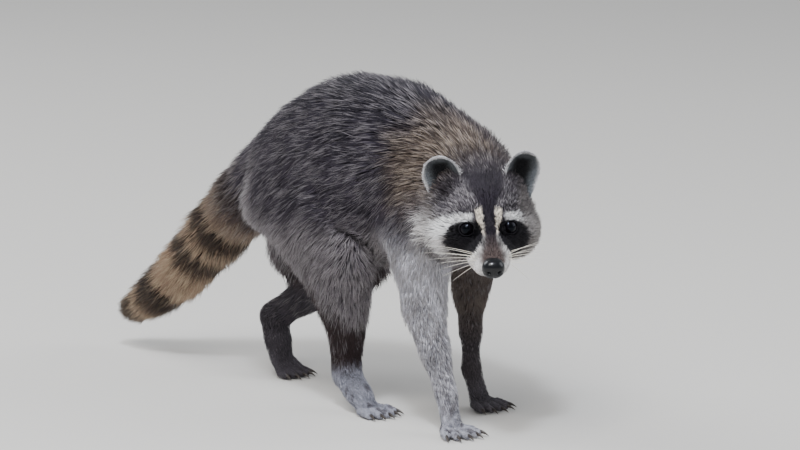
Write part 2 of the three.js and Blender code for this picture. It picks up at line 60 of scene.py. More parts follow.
def ramp(low, high, x):
    """0 below low, 1 above high and 3t^2 - 2t^3 between them."""
    t = np.clip((x - low) / (high - low), 0, 1)
    return t * t * (3 - 2 * t)


def flattened(ways, normals):
    """The part of each way that lies in the surface with that normal."""
    return ways - normals * (ways * normals).sum(1, keepdims=True)


def bell(x, width):
    """1 at 0, falling to 0.37 at one width either side."""
    return np.exp(-(x / width) ** 2)


def mixed(a, b, share):
    """a where share is 0, b where it is 1."""
    share = np.asarray(share)[..., None] if np.ndim(a) > np.ndim(share) else share
    return a + (b - a) * share


def linear(colour):
    """A linear RGB colour from an sRGB hex value."""
    parts = np.array([int(colour[i:i + 2], 16) for i in (1, 3, 5)]) / 255
    return np.where(parts > 0.04045, ((parts + 0.055) / 1.055) ** 2.4, parts / 12.92)


def ripple(points, length, seed):
    """A smooth value from -1 to 1: a sum of six sine waves of about one length."""
    waves = np.random.default_rng(seed)
    ways = unit(waves.normal(size=(6, 3))) * waves.uniform(0.7, 1.6, (6, 1))
    return np.sin(points @ ways.T * (2 * np.pi / length) + waves.uniform(0, 6.3, 6)).mean(1) * 1.6


# ------------------------------------------------------------------ the head's own frame
HEAD_CENTRE = array(-34, -194.5, 220)
HEAD_YAW, HEAD_PITCH, HEAD_ROLL = np.radians([37.5, 15, 1.5])


def head_axes():
    """Left, forward and up of the head: yaw to its right, nose down, left side up."""
    forward = array(-np.sin(HEAD_YAW) * np.cos(HEAD_PITCH),
                    -np.cos(HEAD_YAW) * np.cos(HEAD_PITCH), -np.sin(HEAD_PITCH))
    left = unit(np.cross(array(0, 0, 1), forward))
    up = np.cross(forward, left)
    return np.array([left * np.cos(HEAD_ROLL) + up * np.sin(HEAD_ROLL), forward,
                     up * np.cos(HEAD_ROLL) - left * np.sin(HEAD_ROLL)])


HEAD = head_axes()


def on_head(rows):
    """Points (left, forward, up) of the head's frame, in the animal's frame."""
    return HEAD_CENTRE + np.asarray(rows, float) @ HEAD


def in_head(points):
    """Points of the animal's frame as (left, forward, up) of the head's frame."""
    return (points - HEAD_CENTRE) @ HEAD.T


EYE_CENTRE = array(20, 40, 6.3)
EYE_GAZE = unit(array(0.3, 0.9, 0.3))
EYE_RADIUS = 8.0
low, high = [np.array(corner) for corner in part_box("eye_left")]
SHIFT = (low + high) * 500 - on_head(EYE_CENTRE)

# ------------------------------------------------------------------ the skeleton
TUBES, DIGIT_TIPS = [], []
_, LENGTHWISE, UPRIGHT = np.eye(3)


def chain(kind, blend, up, joints, flow, droop, reach):
    """
    Tapered tubes through joints (place, half width, half height, coat depth). The coat on them
    runs along `flow` (or along the chain, or against it, for 1 or -1) and turns down by `droop`;
    a hair is `reach` times as long as the coat is deep.
    """
    for start, end in zip(joints, joints[1:]):
        at, to = array(*start[0]), array(*end[0])
        length = np.linalg.norm(to - at)
        along = (to - at) / length
        side = unit(np.cross(up, along))
        TUBES.append(dict(
            kind=kind, at=at, length=length, along=along, side=side, top=np.cross(along, side),
            start=array(*start[1:]), end=array(*end[1:]), blend=blend, droop=droop, reach=reach,
            flow=along * flow if np.ndim(flow) == 0 else unit(array(*flow))))


chain("trunk", 14, UPRIGHT, [
    ((-6, 108, 226), 37, 37, 15), ((-3, 72, 233), 55, 62, 16), ((0, 25, 240), 63, 77, 17),
    ((1, -25, 240), 62, 78, 17), ((2, -78, 230), 54, 70, 16), ((1, -116, 229), 48, 57, 15),
], -1, 0.55, 1.65)
chain("neck", 14, UPRIGHT, [
    ((1, -116, 229), 44, 52, 15), ((-14, -152, 225), 40, 44, 15), (on_head((0, -24, 2)), 36, 34, 14),
], -1, 0.5, 1.7)


def head_chain(kind, blend, joints, flow, droop, reach):
    """A chain whose joints are given in the head's frame."""
    placed = [(on_head(at), *rest) for at, *rest in joints]
    chain(kind, blend, HEAD[2], placed, flow, droop, reach)


head_chain("skull", 10, [((0, -22, 8), 33, 29, 9), ((0, 10, 9), 34, 28, 6), ((0, 36, 2), 24, 21, 3)],
           -1, 0.05, 1.6)
for side in (-1, 1):
    head_chain("cheek", 10, [((side * 13, 38, -8), 16, 15, 3), ((side * 27, 14, -12), 19, 18, 8 - side),
                             ((side * 32, -8, -14), 16, 18, 15 - 4.5 * side)], 1, 0.4, 1.8)
head_chain("muzzle", 8, [((0, 40, -5), 20, 18, 3), ((0, 66, -10), 15.5, 12, 3),
                         ((0, 84, -12.5), 11.5, 9.5, 1.6)], -1, 0.1, 2.0)
head_chain("jaw", 6, [((0, 10, -28), 18, 11, 8), ((0, 48, -25), 12, 8, 3), ((0, 73, -22), 9, 6, 2)],
           -1, 0.3, 2.0)
for side in (-1, 1):
    head_chain("muzzle", 5, [((side * 8.5 - 1.5, 58, -16.5), 11, 10, 2),
                             ((side * 7 - 1.5, 79, -17), 8, 7, 1.5)], -1, 0.1, 2.0)
chain("tail", 10, UPRIGHT, [
    ((-6, 120, 230), 31, 32, 17), ((-8, 158, 210), 17, 18, 22), ((-10, 200, 176), 11, 12, 24),
    ((-11, 246, 135), 10, 10, 24), ((-12, 292, 93), 8, 8, 22), ((-13, 338, 62), 6, 6, 19),
    ((-13, 371, 44), 4, 4, 14),
], 1, 0.05, 1.55)


def digits(kind, root, heading, length, radius, pitch, spread):
    """Five digits that fan out from a paw, each arched over its middle joint."""
    across = array(np.cos(heading), np.sin(heading), 0)
    for number in range(-2, 3):
        turn = heading + number * spread
        way = array(np.sin(turn), -np.cos(turn), 0) * length * (1 - 0.06 * number ** 2)
        start = root + across * number * pitch
        points = [start, start + way * 0.55, start + way * 0.98]
        for point, level in zip(points[1:], (5.4, 3.9)):
            point[2] = level
        chain(kind, 2.5, LENGTHWISE + 0.3 * UPRIGHT, [
            (points[0], radius, radius * 0.8, 0.8), (points[1], radius * 0.92, radius * 0.9, 0.7),
            (points[2], radius * 0.78, radius * 0.72, 0.5)], 1, 0, 4.0)
        DIGIT_TIPS.append((kind, points[2], unit(way)))


# Half width, half height and coat at the blade, mid arm, elbow, mid forearm and wrist.
FORELEG_SIZES = dict(
    fore_right=((20, 26, 12), (16.5, 21, 9), (13, 16, 7), (10, 11, 4.5), (8, 7.5, 2.2)),
    fore_left=((22, 28, 13), (18, 21, 8), (11, 12.5, 6), (7.5, 9, 2.2), (6.8, 7, 1.8)))


def foreleg(name, scapula, shoulder, elbow, wrist, palm, heading):
    """Shoulder blade to digits."""
    scapula, shoulder, elbow, wrist, palm = [array(*at) for at in (scapula, shoulder, elbow, wrist, palm)]
    blade, upper, bend, lower, end = FORELEG_SIZES[name]
    middle = ((elbow + wrist) / 2, *lower)
    chain(name, 16, LENGTHWISE, [(scapula, *blade), (shoulder, 25, 32, 12)], (0, 0.7, -0.7), 0.3, 1.9)
    chain(name, 10, LENGTHWISE, [
        (shoulder, 25, 32, 12), ((shoulder + elbow) / 2, *upper), (elbow, *bend), middle], 1, 0.1, 2.1)
    chain(name, 10, LENGTHWISE, [middle, (wrist, *end), (palm, 11.5, 6.5, 1.5)], 1, 0, 3.0)
    digits(name, palm, np.radians(heading), 26, 4.2, 5.6, np.radians(13))


def hindleg(name, hip, knee, hock, ball, hamstring, heading):
    """Hip to digits, with the muscle behind the thigh."""
    hip, knee, hock, ball = [array(*at) for at in (hip, knee, hock, ball)]
    shank = (knee * 0.55 + hock * 0.45, 13, 15, 9)
    chain(name, 10, LENGTHWISE, [
        (hip, 30, 44, 14), ((hip + knee) / 2, 28, 38, 14), (knee, 17, 22, 13)], (0, 0.7, -1), 0.1, 2.0)
    chain(name, 10, LENGTHWISE, [(knee, 17, 22, 13), shank], 1, 0.3, 2.2)
    chain(name, 14, LENGTHWISE, hamstring, (0, 0.35, -1), 0.1, 2.0)
    chain(name, 10, LENGTHWISE, [shank, (hock, 11, 11.5, 2.5), (hock * 0.45 + ball * 0.55, 12.5, 9, 2),
                                 (ball, 14, 7, 1.5)], 1, 0, 3.0)
    digits(name, ball + (0, -3, -2), np.radians(heading), 27, 4.4, 6, np.radians(8))


foreleg("fore_right", (-34, -96, 242), (-44, -114, 200), (-52, -130, 118), (-51, -160, 40),
        (-54, -172, 6.6), -8)
foreleg("fore_left", (34, -108, 248), (40, -110, 204), (49, -90, 118), (49, -92, 40),
        (51, -104, 6.6), 6)
hindleg("hind_right", (-36, 66, 224), (-58, -20, 150), (-43, -5, 34), (-50, -43, 7.2), [
    ((-34, 112, 198), 18, 28, 14), ((-50, 50, 190), 18, 30, 14), ((-56, -6, 120), 12, 16, 14)], 2)
hindleg("hind_left", (34, 96, 220), (50, 72, 128), (21, 180, 59), (14, 160, 17), [
    ((30, 116, 205), 24, 34, 14), ((30, 144, 160), 19, 26, 15), ((30, 156, 130), 13, 16, 14),
    ((35, 144, 110), 11, 12, 8)], 6)


# ------------------------------------------------------------------ the body's surface
FAR = 200.0


def along_tube(tube, x, y, z):
    """How far along a tube points lie (0 to 1), and their offsets along its three axes."""
    x, y, z = x - tube["at"][0], y - tube["at"][1], z - tube["at"][2]
    ahead, aside, above = [way[0] * x + way[1] * y + way[2] * z
                           for way in (tube["along"], tube["side"], tube["top"])]
    share = np.clip(ahead / tube["length"], 0, 1)
    return share, ahead - share * tube["length"], aside, above


def tube_distance(tube, x, y, z, coat):
    """Distance to a tapered tube of elliptic section, negative inside: k(k - 1) / |slope of k|."""
    share, ahead, aside, above = along_tube(tube, x, y, z)
    wide, tall, depth = [a + (b - a) * share for a, b in zip(tube["start"], tube["end"])]
    wide, tall = wide + coat * depth, tall + coat * depth
    cap = (wide + tall) / 2
    scaled = np.sqrt((aside / wide) ** 2 + (above / tall) ** 2 + (ahead / cap) ** 2)
    slope = np.sqrt((aside / wide ** 2) ** 2 + (above / tall ** 2) ** 2 + (ahead / cap ** 2) ** 2)
    return np.where(scaled < 1e-3, -np.minimum(wide, tall), scaled * (scaled - 1) / (slope + 1e-9))


def tube_box(tube, coat, margin):
    """The corners of a box round a tube."""
    reach = max(np.max(end[:2] + coat * end[2]) for end in (tube["start"], tube["end"])) + margin
    ends = np.array([tube["at"], tube["at"] + tube["along"] * tube["length"]])
    return ends.min(0) - reach, ends.max(0) + reach


def within(tube, points, coat, margin):
    """The numbers of the points that lie in a tube's box."""
    low, high = tube_box(tube, coat, margin)
    return np.flatnonzero(((points > low) & (points < high)).all(1))


def melted(near, one, blend):
    """The smaller of two distances, with a fillet: less (blend - |difference|)^2 / 4 blend."""
    overlap = np.maximum(blend - np.abs(near - one), 0) / blend
    return np.minimum(near, one) - overlap ** 2 * blend / 4


def body_distance(points, coat):
    """Distance from points to the whole body, without its coat (0) or with it (1)."""
    near = np.full(len(points), FAR)
    for tube in TUBES:
        inside = within(tube, points, coat, 45)
        if len(inside):
            one = tube_distance(tube, *points[inside].T, coat)
            near[inside] = melted(near[inside], one, tube["blend"])
    return near


def body_slope(points, coat):
    """The outward slope of the body's distance, from differences half a millimetre apart."""
    step = 0.5
    return np.stack([(body_distance(points + step * way, coat) - body_distance(points - step * way, coat))
                     / (2 * step) for way in np.eye(3)], 1)


def drawn_to(points, coat, rounds=1):
    """Points moved along the slope until the body's distance is 0."""
    for _ in range(rounds):
        slope = body_slope(points, coat)
        off = body_distance(points, coat)
        points = points - slope * (off / np.maximum((slope ** 2).sum(1), 0.2))[:, None]
    return points


def body_grid(axes):
    """The body's distance at every point of a grid, tube by tube in the part of it that matters."""
    near = np.full([len(axis) for axis in axes], FAR, np.float32)
    for tube in TUBES:
        low, high = tube_box(tube, 0, 22)
        part = tuple(slice(*np.searchsorted(axis, (a, b))) for axis, a, b in zip(axes, low, high))
        x, y, z = np.meshgrid(*[axis[s] for axis, s in zip(axes, part)], indexing="ij", sparse=True)
        near[part] = melted(near[part], tube_distance(tube, x, y, z, 0), tube["blend"])
    return near


def without_pinches(inside):
    """Fills grid corners until no grid square has only its two opposite corners inside."""
    for _ in range(8):
        filled = 0
        for a, b in ((0, 1), (1, 2), (2, 0)):
            view = np.moveaxis(inside, (a, b), (0, 1))
            near, far, left, right = view[:-1, :-1], view[1:, 1:], view[1:, :-1], view[:-1, 1:]
            pinch = (near == far) & (left == right) & (near != left)
            filled += pinch.sum()
            left |= pinch & near
            near |= pinch & ~near
        if not filled:
            return


def netted(axes, distance):
    """
    The surface where the distance is 0: one vertex in each grid cell that it crosses, at the
    mean of the cell's edge crossings, and one quad round each grid edge that it crosses.
    """
    inside = distance < 0
    without_pinches(inside)
    corners = list(np.ndindex(2, 2, 2))

    def at(values, corner):
        """The grid's values at one corner of every cell."""
        return values[tuple(slice(c, n - 1 + c) for c, n in zip(corner, values.shape))]

    count = sum(at(inside, corner).astype(np.int8) for corner in corners)
    crossed = (count > 0) & (count < 8)
    number = np.full(crossed.shape, -1)
    number[crossed] = np.arange(crossed.sum())
    total, crossings = np.zeros((crossed.sum(), 3)), np.zeros(crossed.sum())
    for a in corners:
        for b in corners:
            if sum(b) - sum(a) != 1 or any(p > q for p, q in zip(a, b)):
                continue
            da, db = at(distance, a)[crossed], at(distance, b)[crossed]
            cut = at(inside, a)[crossed] != at(inside, b)[crossed]
            share = np.where((da < 0) != (db < 0), da / np.where(da == db, 1, da - db), 0.5)
            place = np.array(a) + share[:, None] * (np.array(b) - np.array(a))
            total += place * cut[:, None]
            crossings += cut
    cells = np.argwhere(crossed) + total / crossings[:, None]
    points = np.stack([np.interp(cells[:, i], np.arange(len(axes[i])), axes[i]) for i in range(3)], 1)
    quads = []
    for axis in range(3):
        one, two = (axis + 1) % 3, (axis + 2) % 3
        view = np.moveaxis(inside, axis, 0)
        edge = np.moveaxis((view[1:] != view[:-1]), 0, axis)
        cut = np.argwhere(edge)
        ring = []
        for i, j in ((0, 0), (1, 0), (1, 1), (0, 1)):
            cell = cut.copy()
            cell[:, one] -= i
            cell[:, two] -= j
            ring.append(number[tuple(cell.T)])
        ring = np.stack(ring, 1)
        out = inside[tuple(cut.T)]
        ring[~out] = ring[~out][:, ::-1]
        quads.append(ring)
    quads = np.concatenate(quads)
    return points, np.concatenate([quads[:, [0, 1, 2]], quads[:, [0, 2, 3]]])


def refined(points, triangles, chosen):
    """Splits each edge between two chosen points in the middle, and the triangles to match."""
    ends = triangles[:, [[0, 1], [1, 2], [2, 0]]]
    key = ends.min(-1) * len(points) + ends.max(-1)
    edges, where = np.unique(key.ravel(), return_inverse=True)
    pair = np.stack([edges // len(points), edges % len(points)], 1)
    split = chosen[pair].all(1)
    middle = np.full(len(edges), -1)
    middle[split] = len(points) + np.arange(split.sum())
    points = np.vstack([points, points[pair[split]].mean(1)])
    middle = middle[where].reshape(-1, 3)
    count = (middle >= 0).sum(1)
    kept = [triangles[count == 0]]
    for marks in (1, 2, 3):
        some, mid = triangles[count == marks], middle[count == marks]
        lead = {1: mid >= 0, 2: mid < 0, 3: mid >= 0}[marks].argmax(1)
        turn = (np.arange(3) + lead[:, None] + (marks == 2)) % 3
        a, b, c = np.take_along_axis(some, turn, 1).T
        p, q, r = np.take_along_axis(mid, turn, 1).T
        kept += {1: [(a, p, c), (p, b, c)], 2: [(p, b, q), (a, p, q), (a, q, c)],
                 3: [(a, p, r), (p, b, q), (r, q, c), (p, q, r)]}[marks]
    return points, np.concatenate([part if isinstance(part, np.ndarray) else np.stack(part, 1)
                                   for part in kept])


def normals_of(points, triangles):
    """Unit normals at the points: the sum of the area vectors of the triangles round each."""
    a, b, c = [points[triangles[:, i]] for i in range(3)]
    area = np.cross(b - a, c - a)
    total = np.stack([sum(np.bincount(triangles[:, i], area[:, k], len(points)) for i in range(3))
                      for k in range(3)], 1)
    return unit(total)


# ------------------------------------------------------------------ the face
LID_WIDE, LID_UPPER, LID_LOWER = 7.2, 6.4, 6.2


def eye_axes(side):
    """The eye's gaze, its horizontal towards the outer corner, and its vertical."""
    gaze = unit((EYE_GAZE * (side, 1, 1)) @ HEAD)
    across = unit(np.cross(gaze, HEAD[2]))
    across = across * np.sign(across @ HEAD[0]) * side
    level = unit(across - 0.12 * HEAD[2])
    level = unit(level - gaze * (level @ gaze))
    vertical = np.cross(gaze, level)
    return gaze, level, vertical * np.sign(vertical @ HEAD[2])


def eye_place(points, side):
    """Offsets from an eye: across, up and out, and the lid opening's own radius (1 on its edge)."""
    gaze, level, vertical = eye_axes(side)
    offset = points - on_head(EYE_CENTRE * (side, 1, 1))
    across, up, out = offset @ level, offset @ vertical, offset @ gaze
    tall = np.where(up > 0, LID_UPPER, LID_LOWER)
    return across, up, out, np.sqrt((across / LID_WIDE) ** 2 + (up / tall) ** 2)


def round_eye(opening, out, limit):
    """Which points lie within `limit` lid openings of an eye's gaze, at the face's surface."""
    return (opening < limit) & (out > -3) & (out < 20)


def with_lids(points):
    """
    Skin round each eye moved along its gaze: inside the opening it goes behind the eyeball, on
    the lids it lies on a sphere a little larger than the eyeball, and then it eases into the face.
    """
    for side in (-1, 1):
        gaze = eye_axes(side)[0]
        across, up, out, opening = eye_place(points, side)
        near = round_eye(opening, out, 2.6)
        radius = np.hypot(across, up)
        lid = np.sqrt(np.maximum((EYE_RADIUS + 1.1) ** 2 - radius ** 2, 1))
        behind = np.sqrt(np.maximum((EYE_RADIUS - 1.5) ** 2 - radius ** 2, 1))
        height = mixed(behind, lid, ramp(0.9, 1.02, opening))
        height = mixed(height, out, ramp(1.15, 2.1, opening))
        fold = 0.5 * bell(opening - 1.42, 0.1) * (up > 0)
        points = points + np.where(near, height - out - fold, 0)[:, None] * gaze
    return points


def with_relief(points, normals):
    """
    The face's small forms, each a bell over the head's frame: brow ridges, cheekbones, whisker
    pads, the mouth's crease from under the nose to its corners, and the dip before the brows.
    """
    left, forward, up = in_head(points).T
    aside = np.abs(left)
    brow = 2.2 * bell(aside - 19, 10) * bell(up - 19, 4.5) * ramp(28, 38, forward)
    pad = 1.8 * bell(aside - 12, 5) * bell(forward - 80, 11) * bell(up + 12, 7)
    stop = -1.5 * bell(aside, 7) * bell(forward - 53, 9) * ramp(5, 14, up)
    crease_height = -23.5 - 0.03 * np.maximum(90 - forward, 0) + 2.0 * bell(aside, 4)
    crease = -1.6 * bell(up - crease_height, 1.5) * ramp(44, 52, forward) * ramp(98, 90, forward)
    groove = -0.9 * bell(left, 1.1) * ramp(84, 90, forward) * ramp(-16, -19, up)
    return points + normals * (brow + pad + stop + crease + groove)[:, None]


CELL = 2.6
AXES = [np.arange(a, b, CELL) for a, b in ((-110, 110), (-312, 395), (-9, 345))]


def skin_surface():
    """The bare body's surface, finer on the face and the paws, with the face's small forms."""
    points, triangles = netted(AXES, body_grid(AXES))
    points = drawn_to(points, 0, rounds=2)
    head = in_head(points)
    front = (head[:, 1] > 22) & (np.abs(head[:, 0]) < 45) & (head[:, 2] > -45) & (head[:, 2] < 40)
    points, triangles = refined(points, triangles, front | (points[:, 2] < 24))
    for limit in (2.6, 1.9):
        around = np.zeros(len(points), bool)
        for side in (-1, 1):
            _, _, out, opening = eye_place(points, side)
            around |= round_eye(opening, out, limit)
        points, triangles = refined(points, triangles, around)
    points = drawn_to(points, 0)
    points = with_relief(points, normals_of(points, triangles))
    points = with_lids(points)
    points[:, 2] = np.maximum(points[:, 2], 0.2)
    return points, triangles


# ------------------------------------------------------------------ meshes
def placed(name, data):
    """An object of the scene for its data."""
    made = bpy.data.objects.new(name, data)
    scene.collection.objects.link(made)
    return made


def mesh_object(name, points, faces, replaced=()):
    """A smooth mesh object from points in the animal's frame and faces of one size."""
    mesh = bpy.data.meshes.new(name)
    count, sides = faces.shape
    mesh.vertices.add(len(points))
    mesh.vertices.foreach_set("co", ((points + SHIFT) / 1000).astype(np.float32).ravel())
    mesh.loops.add(count * sides)
    mesh.loops.foreach_set("vertex_index", faces.astype(np.int32).ravel())
    mesh.polygons.add(count)
    mesh.polygons.foreach_set("loop_start", np.arange(0, count * sides, sides, dtype=np.int32))
    mesh.polygons.foreach_set("use_smooth", np.ones(count, bool))
    mesh.update(calc_edges=True)
    piece = placed(name, mesh)
    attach(piece, "root")
    if replaced:
        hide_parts(*replaced)
    return piece


def store(piece, name, values):
    """A point attribute: a colour from rows of three, or a number from a flat array."""
    colour = values.ndim == 2
    kind = "FLOAT_COLOR" if colour else "FLOAT"
    attribute = piece.data.attributes.new(name, kind, "POINT")
    if colour:
        values = np.column_stack([values, np.ones(len(values))])
    attribute.data.foreach_set("color" if colour else "value", values.astype(np.float32).ravel())


def dress(piece, made, **looks):
    """A piece's attributes and its material."""
    for name, values in looks.items():
        store(piece, name, values)
    piece.data.materials.append(made)


# ------------------------------------------------------------------ coat pattern and painted shade
INK = {name: linear(colour) for name, colour in dict(
    back="#2c2732", ridge="#25222a", flank="#3b353f", belly="#a09999", pale="#bdb8b9",
    white="#fdfcfc", cream="#f7ecdc", tan="#6e5d49", straw="#d2bc9e", black="#141117",
    stripe="#251f29", crown="#332d32", brown="#3e3436", fawn="#9a857d", forehead="#484349",
    ruff="#d8d2d0",
    cheek="#8f8882", muzzle="#f6f2ef", shank="#372a2b", foot="#a8a9b6", arm="#dedde5",
    arm_dark_and_shaded="#655b56", ring="#2c1f1c", buff="#a48a74", ear="#454345", rim="#dcdadb",
    ear_inside="#1d1d20", ear_grey="#7c8084", hock="#484349", rump="#b4acac", tip="#938d92",
    curtain="#8d8689",
).items()}
# Each ring's place on the tail, half width and strength.
RINGS = ((0.24, 0.034, 0.7), (0.34, 0.022, 0.25), (0.42, 0.038, 1), (0.562, 0.044, 1), (0.828, 0.056, 1),
         (1.0, 0.035, 0.9))


def paint(colour, ink, share):
    """A colour laid over another, by its share at each point."""
    colour += (INK[ink] - colour) * share[:, None]


def loop_distance(x, y, corners):
    """Distance to a closed loop of straight lines, less than 0 where a ray crosses it oddly."""
    corners = np.array(corners, float)
    ahead = np.roll(corners, -1, 0) - corners
    dx, dy = x[:, None] - corners[:, 0], y[:, None] - corners[:, 1]
    along = np.clip((dx * ahead[:, 0] + dy * ahead[:, 1]) / (ahead ** 2).sum(1), 0, 1)
    distance = np.hypot(dx - along * ahead[:, 0], dy - along * ahead[:, 1]).min(1)
    level = ahead[:, 1] + 1e-9 * (ahead[:, 1] == 0)
    crossed = ((dy < 0) != (dy < ahead[:, 1])) & (dx < ahead[:, 0] * dy / level)
    return np.where(crossed.sum(1) % 2 == 1, -distance, distance)


# Loops on the face. The mask and the brow are drawn across a slanting chart: outwards, back and
# down, and down and forward. The pale stripe beside the nose is drawn aside and up.
MASK_CENTRE = array(24.6, 50, 4)
MASK_LONG, MASK_DEEP = unit(array(0.79, -0.51, -0.32)), unit(array(0, 0.53, -0.85))
MASK = ((-13, -12), (-5, -13.7), (5, -13.6), (13, -11.8), (18, -8), (22.5, -4), (24.5, 1), (23, 7),
        (17.5, 14.5), (7.5, 20.5), (-7, 22), (-17, 16), (-20.5, 7), (-20, -1), (-17, -9))
BROW = ((-9.3, -21.5), (-2, -23), (10, -23.6), (18, -22.6), (30, -20), (44, -17), (62, -13.5),
        (66, -5), (46, -1), (30, 1), (19, -4), (5, -9), (-5, -9), (-10.2, -10))
STREAK = ((6.3, 28.2), (13, 26.3), (12.3, 19), (9.7, 13.2), (7.6, 9), (5.6, 8.6), (5.4, 16), (5.9, 24))


def markings(points, parts):
    """
    The coat's colour (its own pattern, with painted shade on the far side of the head, under the
    jaw and on the far legs), the colour of its hair tips and the share of tips that are pale.
    Patches are bells, ramps and loops over the body's axes, the head's frame and the limbs.
    """
    x, y, z = points.T
    wave = ripple(points, 45, 3)
    fine = ripple(points, 9, 4)
    colour = np.tile(INK["flank"], (len(points), 1))
    tip = np.tile(INK["tip"], (len(points), 1))
    grizzle = np.full(len(points), 0.36)

    def lay(share, own=None, own_share=1, tips=None, tips_share=1, pale=None):
        """Lays a patch on by its share: hair colour, tip colour and the share of pale tips."""
        if own:
            paint(colour, own, own_share * share)
        if tips:
            paint(tip, tips, tips_share * share)
        if pale is not None:
            grizzle[:] = mixed(grizzle, pale, share)

    # Trunk: dark along the spine and over the middle of the flank, lighter to the belly, and
    # pale behind the thigh.
    spine = ramp(235, 300, z + 8 * wave)
    lay(spine, "back", pale=0.3)
    lay(ramp(290, 322, z + 5 * wave) * parts["trunk"], "ridge", 0.7)
    low = ramp(205, 170, z + 6 * wave) * parts["behind"]
    paint(colour, "curtain", np.clip(0.55 + 0.5 * fine, 0.1, 1) * low)
    lay(low, tips="pale", tips_share=0.5, pale=0.55)
    lay(ramp(196, 166, z) * parts["trunk"], "belly")
    rump = bell(y - 137 - 5 * wave - 4 * fine, 20) * bell(z - 188, 40) * parts["behind"]
    rump = rump * np.clip(0.62 + 0.6 * fine, 0, 1)
    lay(rump, "rump", 0.8, "white", 0.6, 0.8)
    nape = parts["neck"] + 0.7 * (parts["fore_right"] + parts["fore_left"] + parts["trunk"])
    tan = np.clip(nape, 0, 1) * ramp(205, 245, z + 7 * wave) * ramp(-66, -106, y + 9 * wave + 6 * fine)
    tan = tan * (1 - parts["head"]) * mixed(1, 0.35, ramp(-6, 26, x)) * (0.75 + 0.3 * fine)
    tan = tan * mixed(1, 0.6, ramp(280, 316, z))
    lay(tan, "tan", 0.8, "straw", 0.85, 0.5)

    # Tail: dark rings on buff, with its own length as the measure, grizzled like the rump at
    # its root.
    length = parts["tail_at"] + 0.010 * fine + 0.006 * wave
    dark = np.zeros(len(points))
    for place, width, strength in RINGS:
        dark = np.maximum(dark, strength * ramp(1.5, 0.6, np.abs(length - place) / width))
    tail = parts["tail"] * ramp(0.02, 0.16, parts["tail_at"])
    lay(tail * ramp(0.2, 0.42, length), "buff", 0.95)
    paint(tip, "straw", tail * (0.15 + 0.85 * ramp(0.2, 0.42, length)))
    lay(tail * dark, "ring", 1, "ring", 0.85)
    lay(tail, pale=0.45)

    # Legs, the far ones darkened with painted shade.
    lower = ramp(214, 162, z + 8 * wave + 8 * fine + 0.25 * (y + 110))
    arm = parts["fore_right"] * lower
    flecks = ramp(-0.1, 0.7, ripple(points, 6.5, 8)) * ramp(215, 70, z)
    lay(arm, "arm", 0.9, "pale", 0.8)
    paint(colour, "flank", 0.8 * arm * flecks)
    # The far foreleg: its own grey-brown, darker still as painted shade and darkest low down, with few pale
    # tips.
    arm_left = parts["fore_left"] * lower
    paint(colour, "arm_dark_and_shaded", arm_left)
    paint(colour, "hock", 0.8 * arm_left * ramp(110, 60, z))
    grizzle[:] = mixed(grizzle, 0.5, arm) * (1 - 0.7 * arm * flecks)
    lay(arm_left, pale=0.12)
    slant = 0.75 * np.clip(y + 14, -30, 26)
    shank = (parts["hind_right"] + parts["hind_left"]) * ramp(114, 90, z + 6 * wave + 6 * fine - slant)
    lay(shank, "shank", pale=0.12)
    lay(parts["hind_right"] * ramp(50, 38, z + 0.15 * (y + 30) + 2 * fine), "foot", 0.92, "foot")
    # The far hind leg low down: the dark back of its hock, darkened further as painted shade.
    lay(parts["hind_left"] * ramp(112, 86, z), "hock")
    # Pale paws in front; the far forepaw takes little of it, as painted shade.
    lay((parts["fore_right"] + parts["fore_left"] * 0.15) * ramp(40, 15, z), "foot", 0.55)
    dots = ramp(0.35, 0.6, ripple(points, 14, 5)) * ramp(60, 20, z) * (z > 4)
    paint(colour, "shank", 0.6 * dots * (parts["hind_right"] + parts["fore_right"]))

    # Head: grizzled crown and forehead, darker down the middle, with a pale ruff at the sides; painted shade
    # darkens the far side of the forehead, the low cheeks and ruff, and the underside of the head.
    left, forward, up = in_head(points).T
    aside = np.abs(left)
    on_face = parts["head"]
    rough = 0.5 * ripple(points, 7, 6) + 0.35 * ripple(points, 3.5, 9)
    lay(on_face, "forehead", 1, "pale", 0.6, 0.5)
    crown = on_face * ramp(8, -14, forward) * ramp(8, 26, up)
    # Painted shade: the far side of the forehead takes the crown's darker colour.
    crown = np.maximum(crown, 0.65 * on_face * ramp(4, 22, left) * ramp(12, 22, up))
    lay(crown, "crown", 0.9, pale=0.2)
    near_head = ramp(-30, -16, forward) * ramp(30, 8, forward - 0.4 * aside) * ramp(0.02, 0.25, on_face)
    ruff = near_head * ramp(24, 44, aside - 0.1 * up + 2 * rough) * ramp(9, -6, up - 0.25 * forward)
    ruff = ruff * ramp(-78, -56, up)
    lay(ruff, "ruff", 1, "white", 0.85, 0.75)
    cheek = on_face * ramp(4, -6, up + 0.4 * (forward - 30)) * ramp(12, 26, aside + 1.5 * rough)
    cheek = cheek * (1 - ruff)
    lay(cheek, "cheek", 0.9)
    # Painted shade cast by the jaw: low on the cheeks and the ruff, and under the head behind the muzzle.
    paint(colour, "flank", 0.3 * cheek * ramp(-14, -28, up))
    paint(colour, "flank", 0.7 * ruff * ramp(-20, -34, up))
    paint(tip, "cheek", 0.8 * ruff * ramp(-20, -34, up))
    lay(on_face * ramp(-22, -32, up) * ramp(66, 50, forward), "flank", 0.45)
    before_ear = bell(np.linalg.norm(np.stack([aside - 33, forward - 1, up - 27], 1), axis=1), 12)
    lay(before_ear, "crown", 0.85, "crown", 0.85)

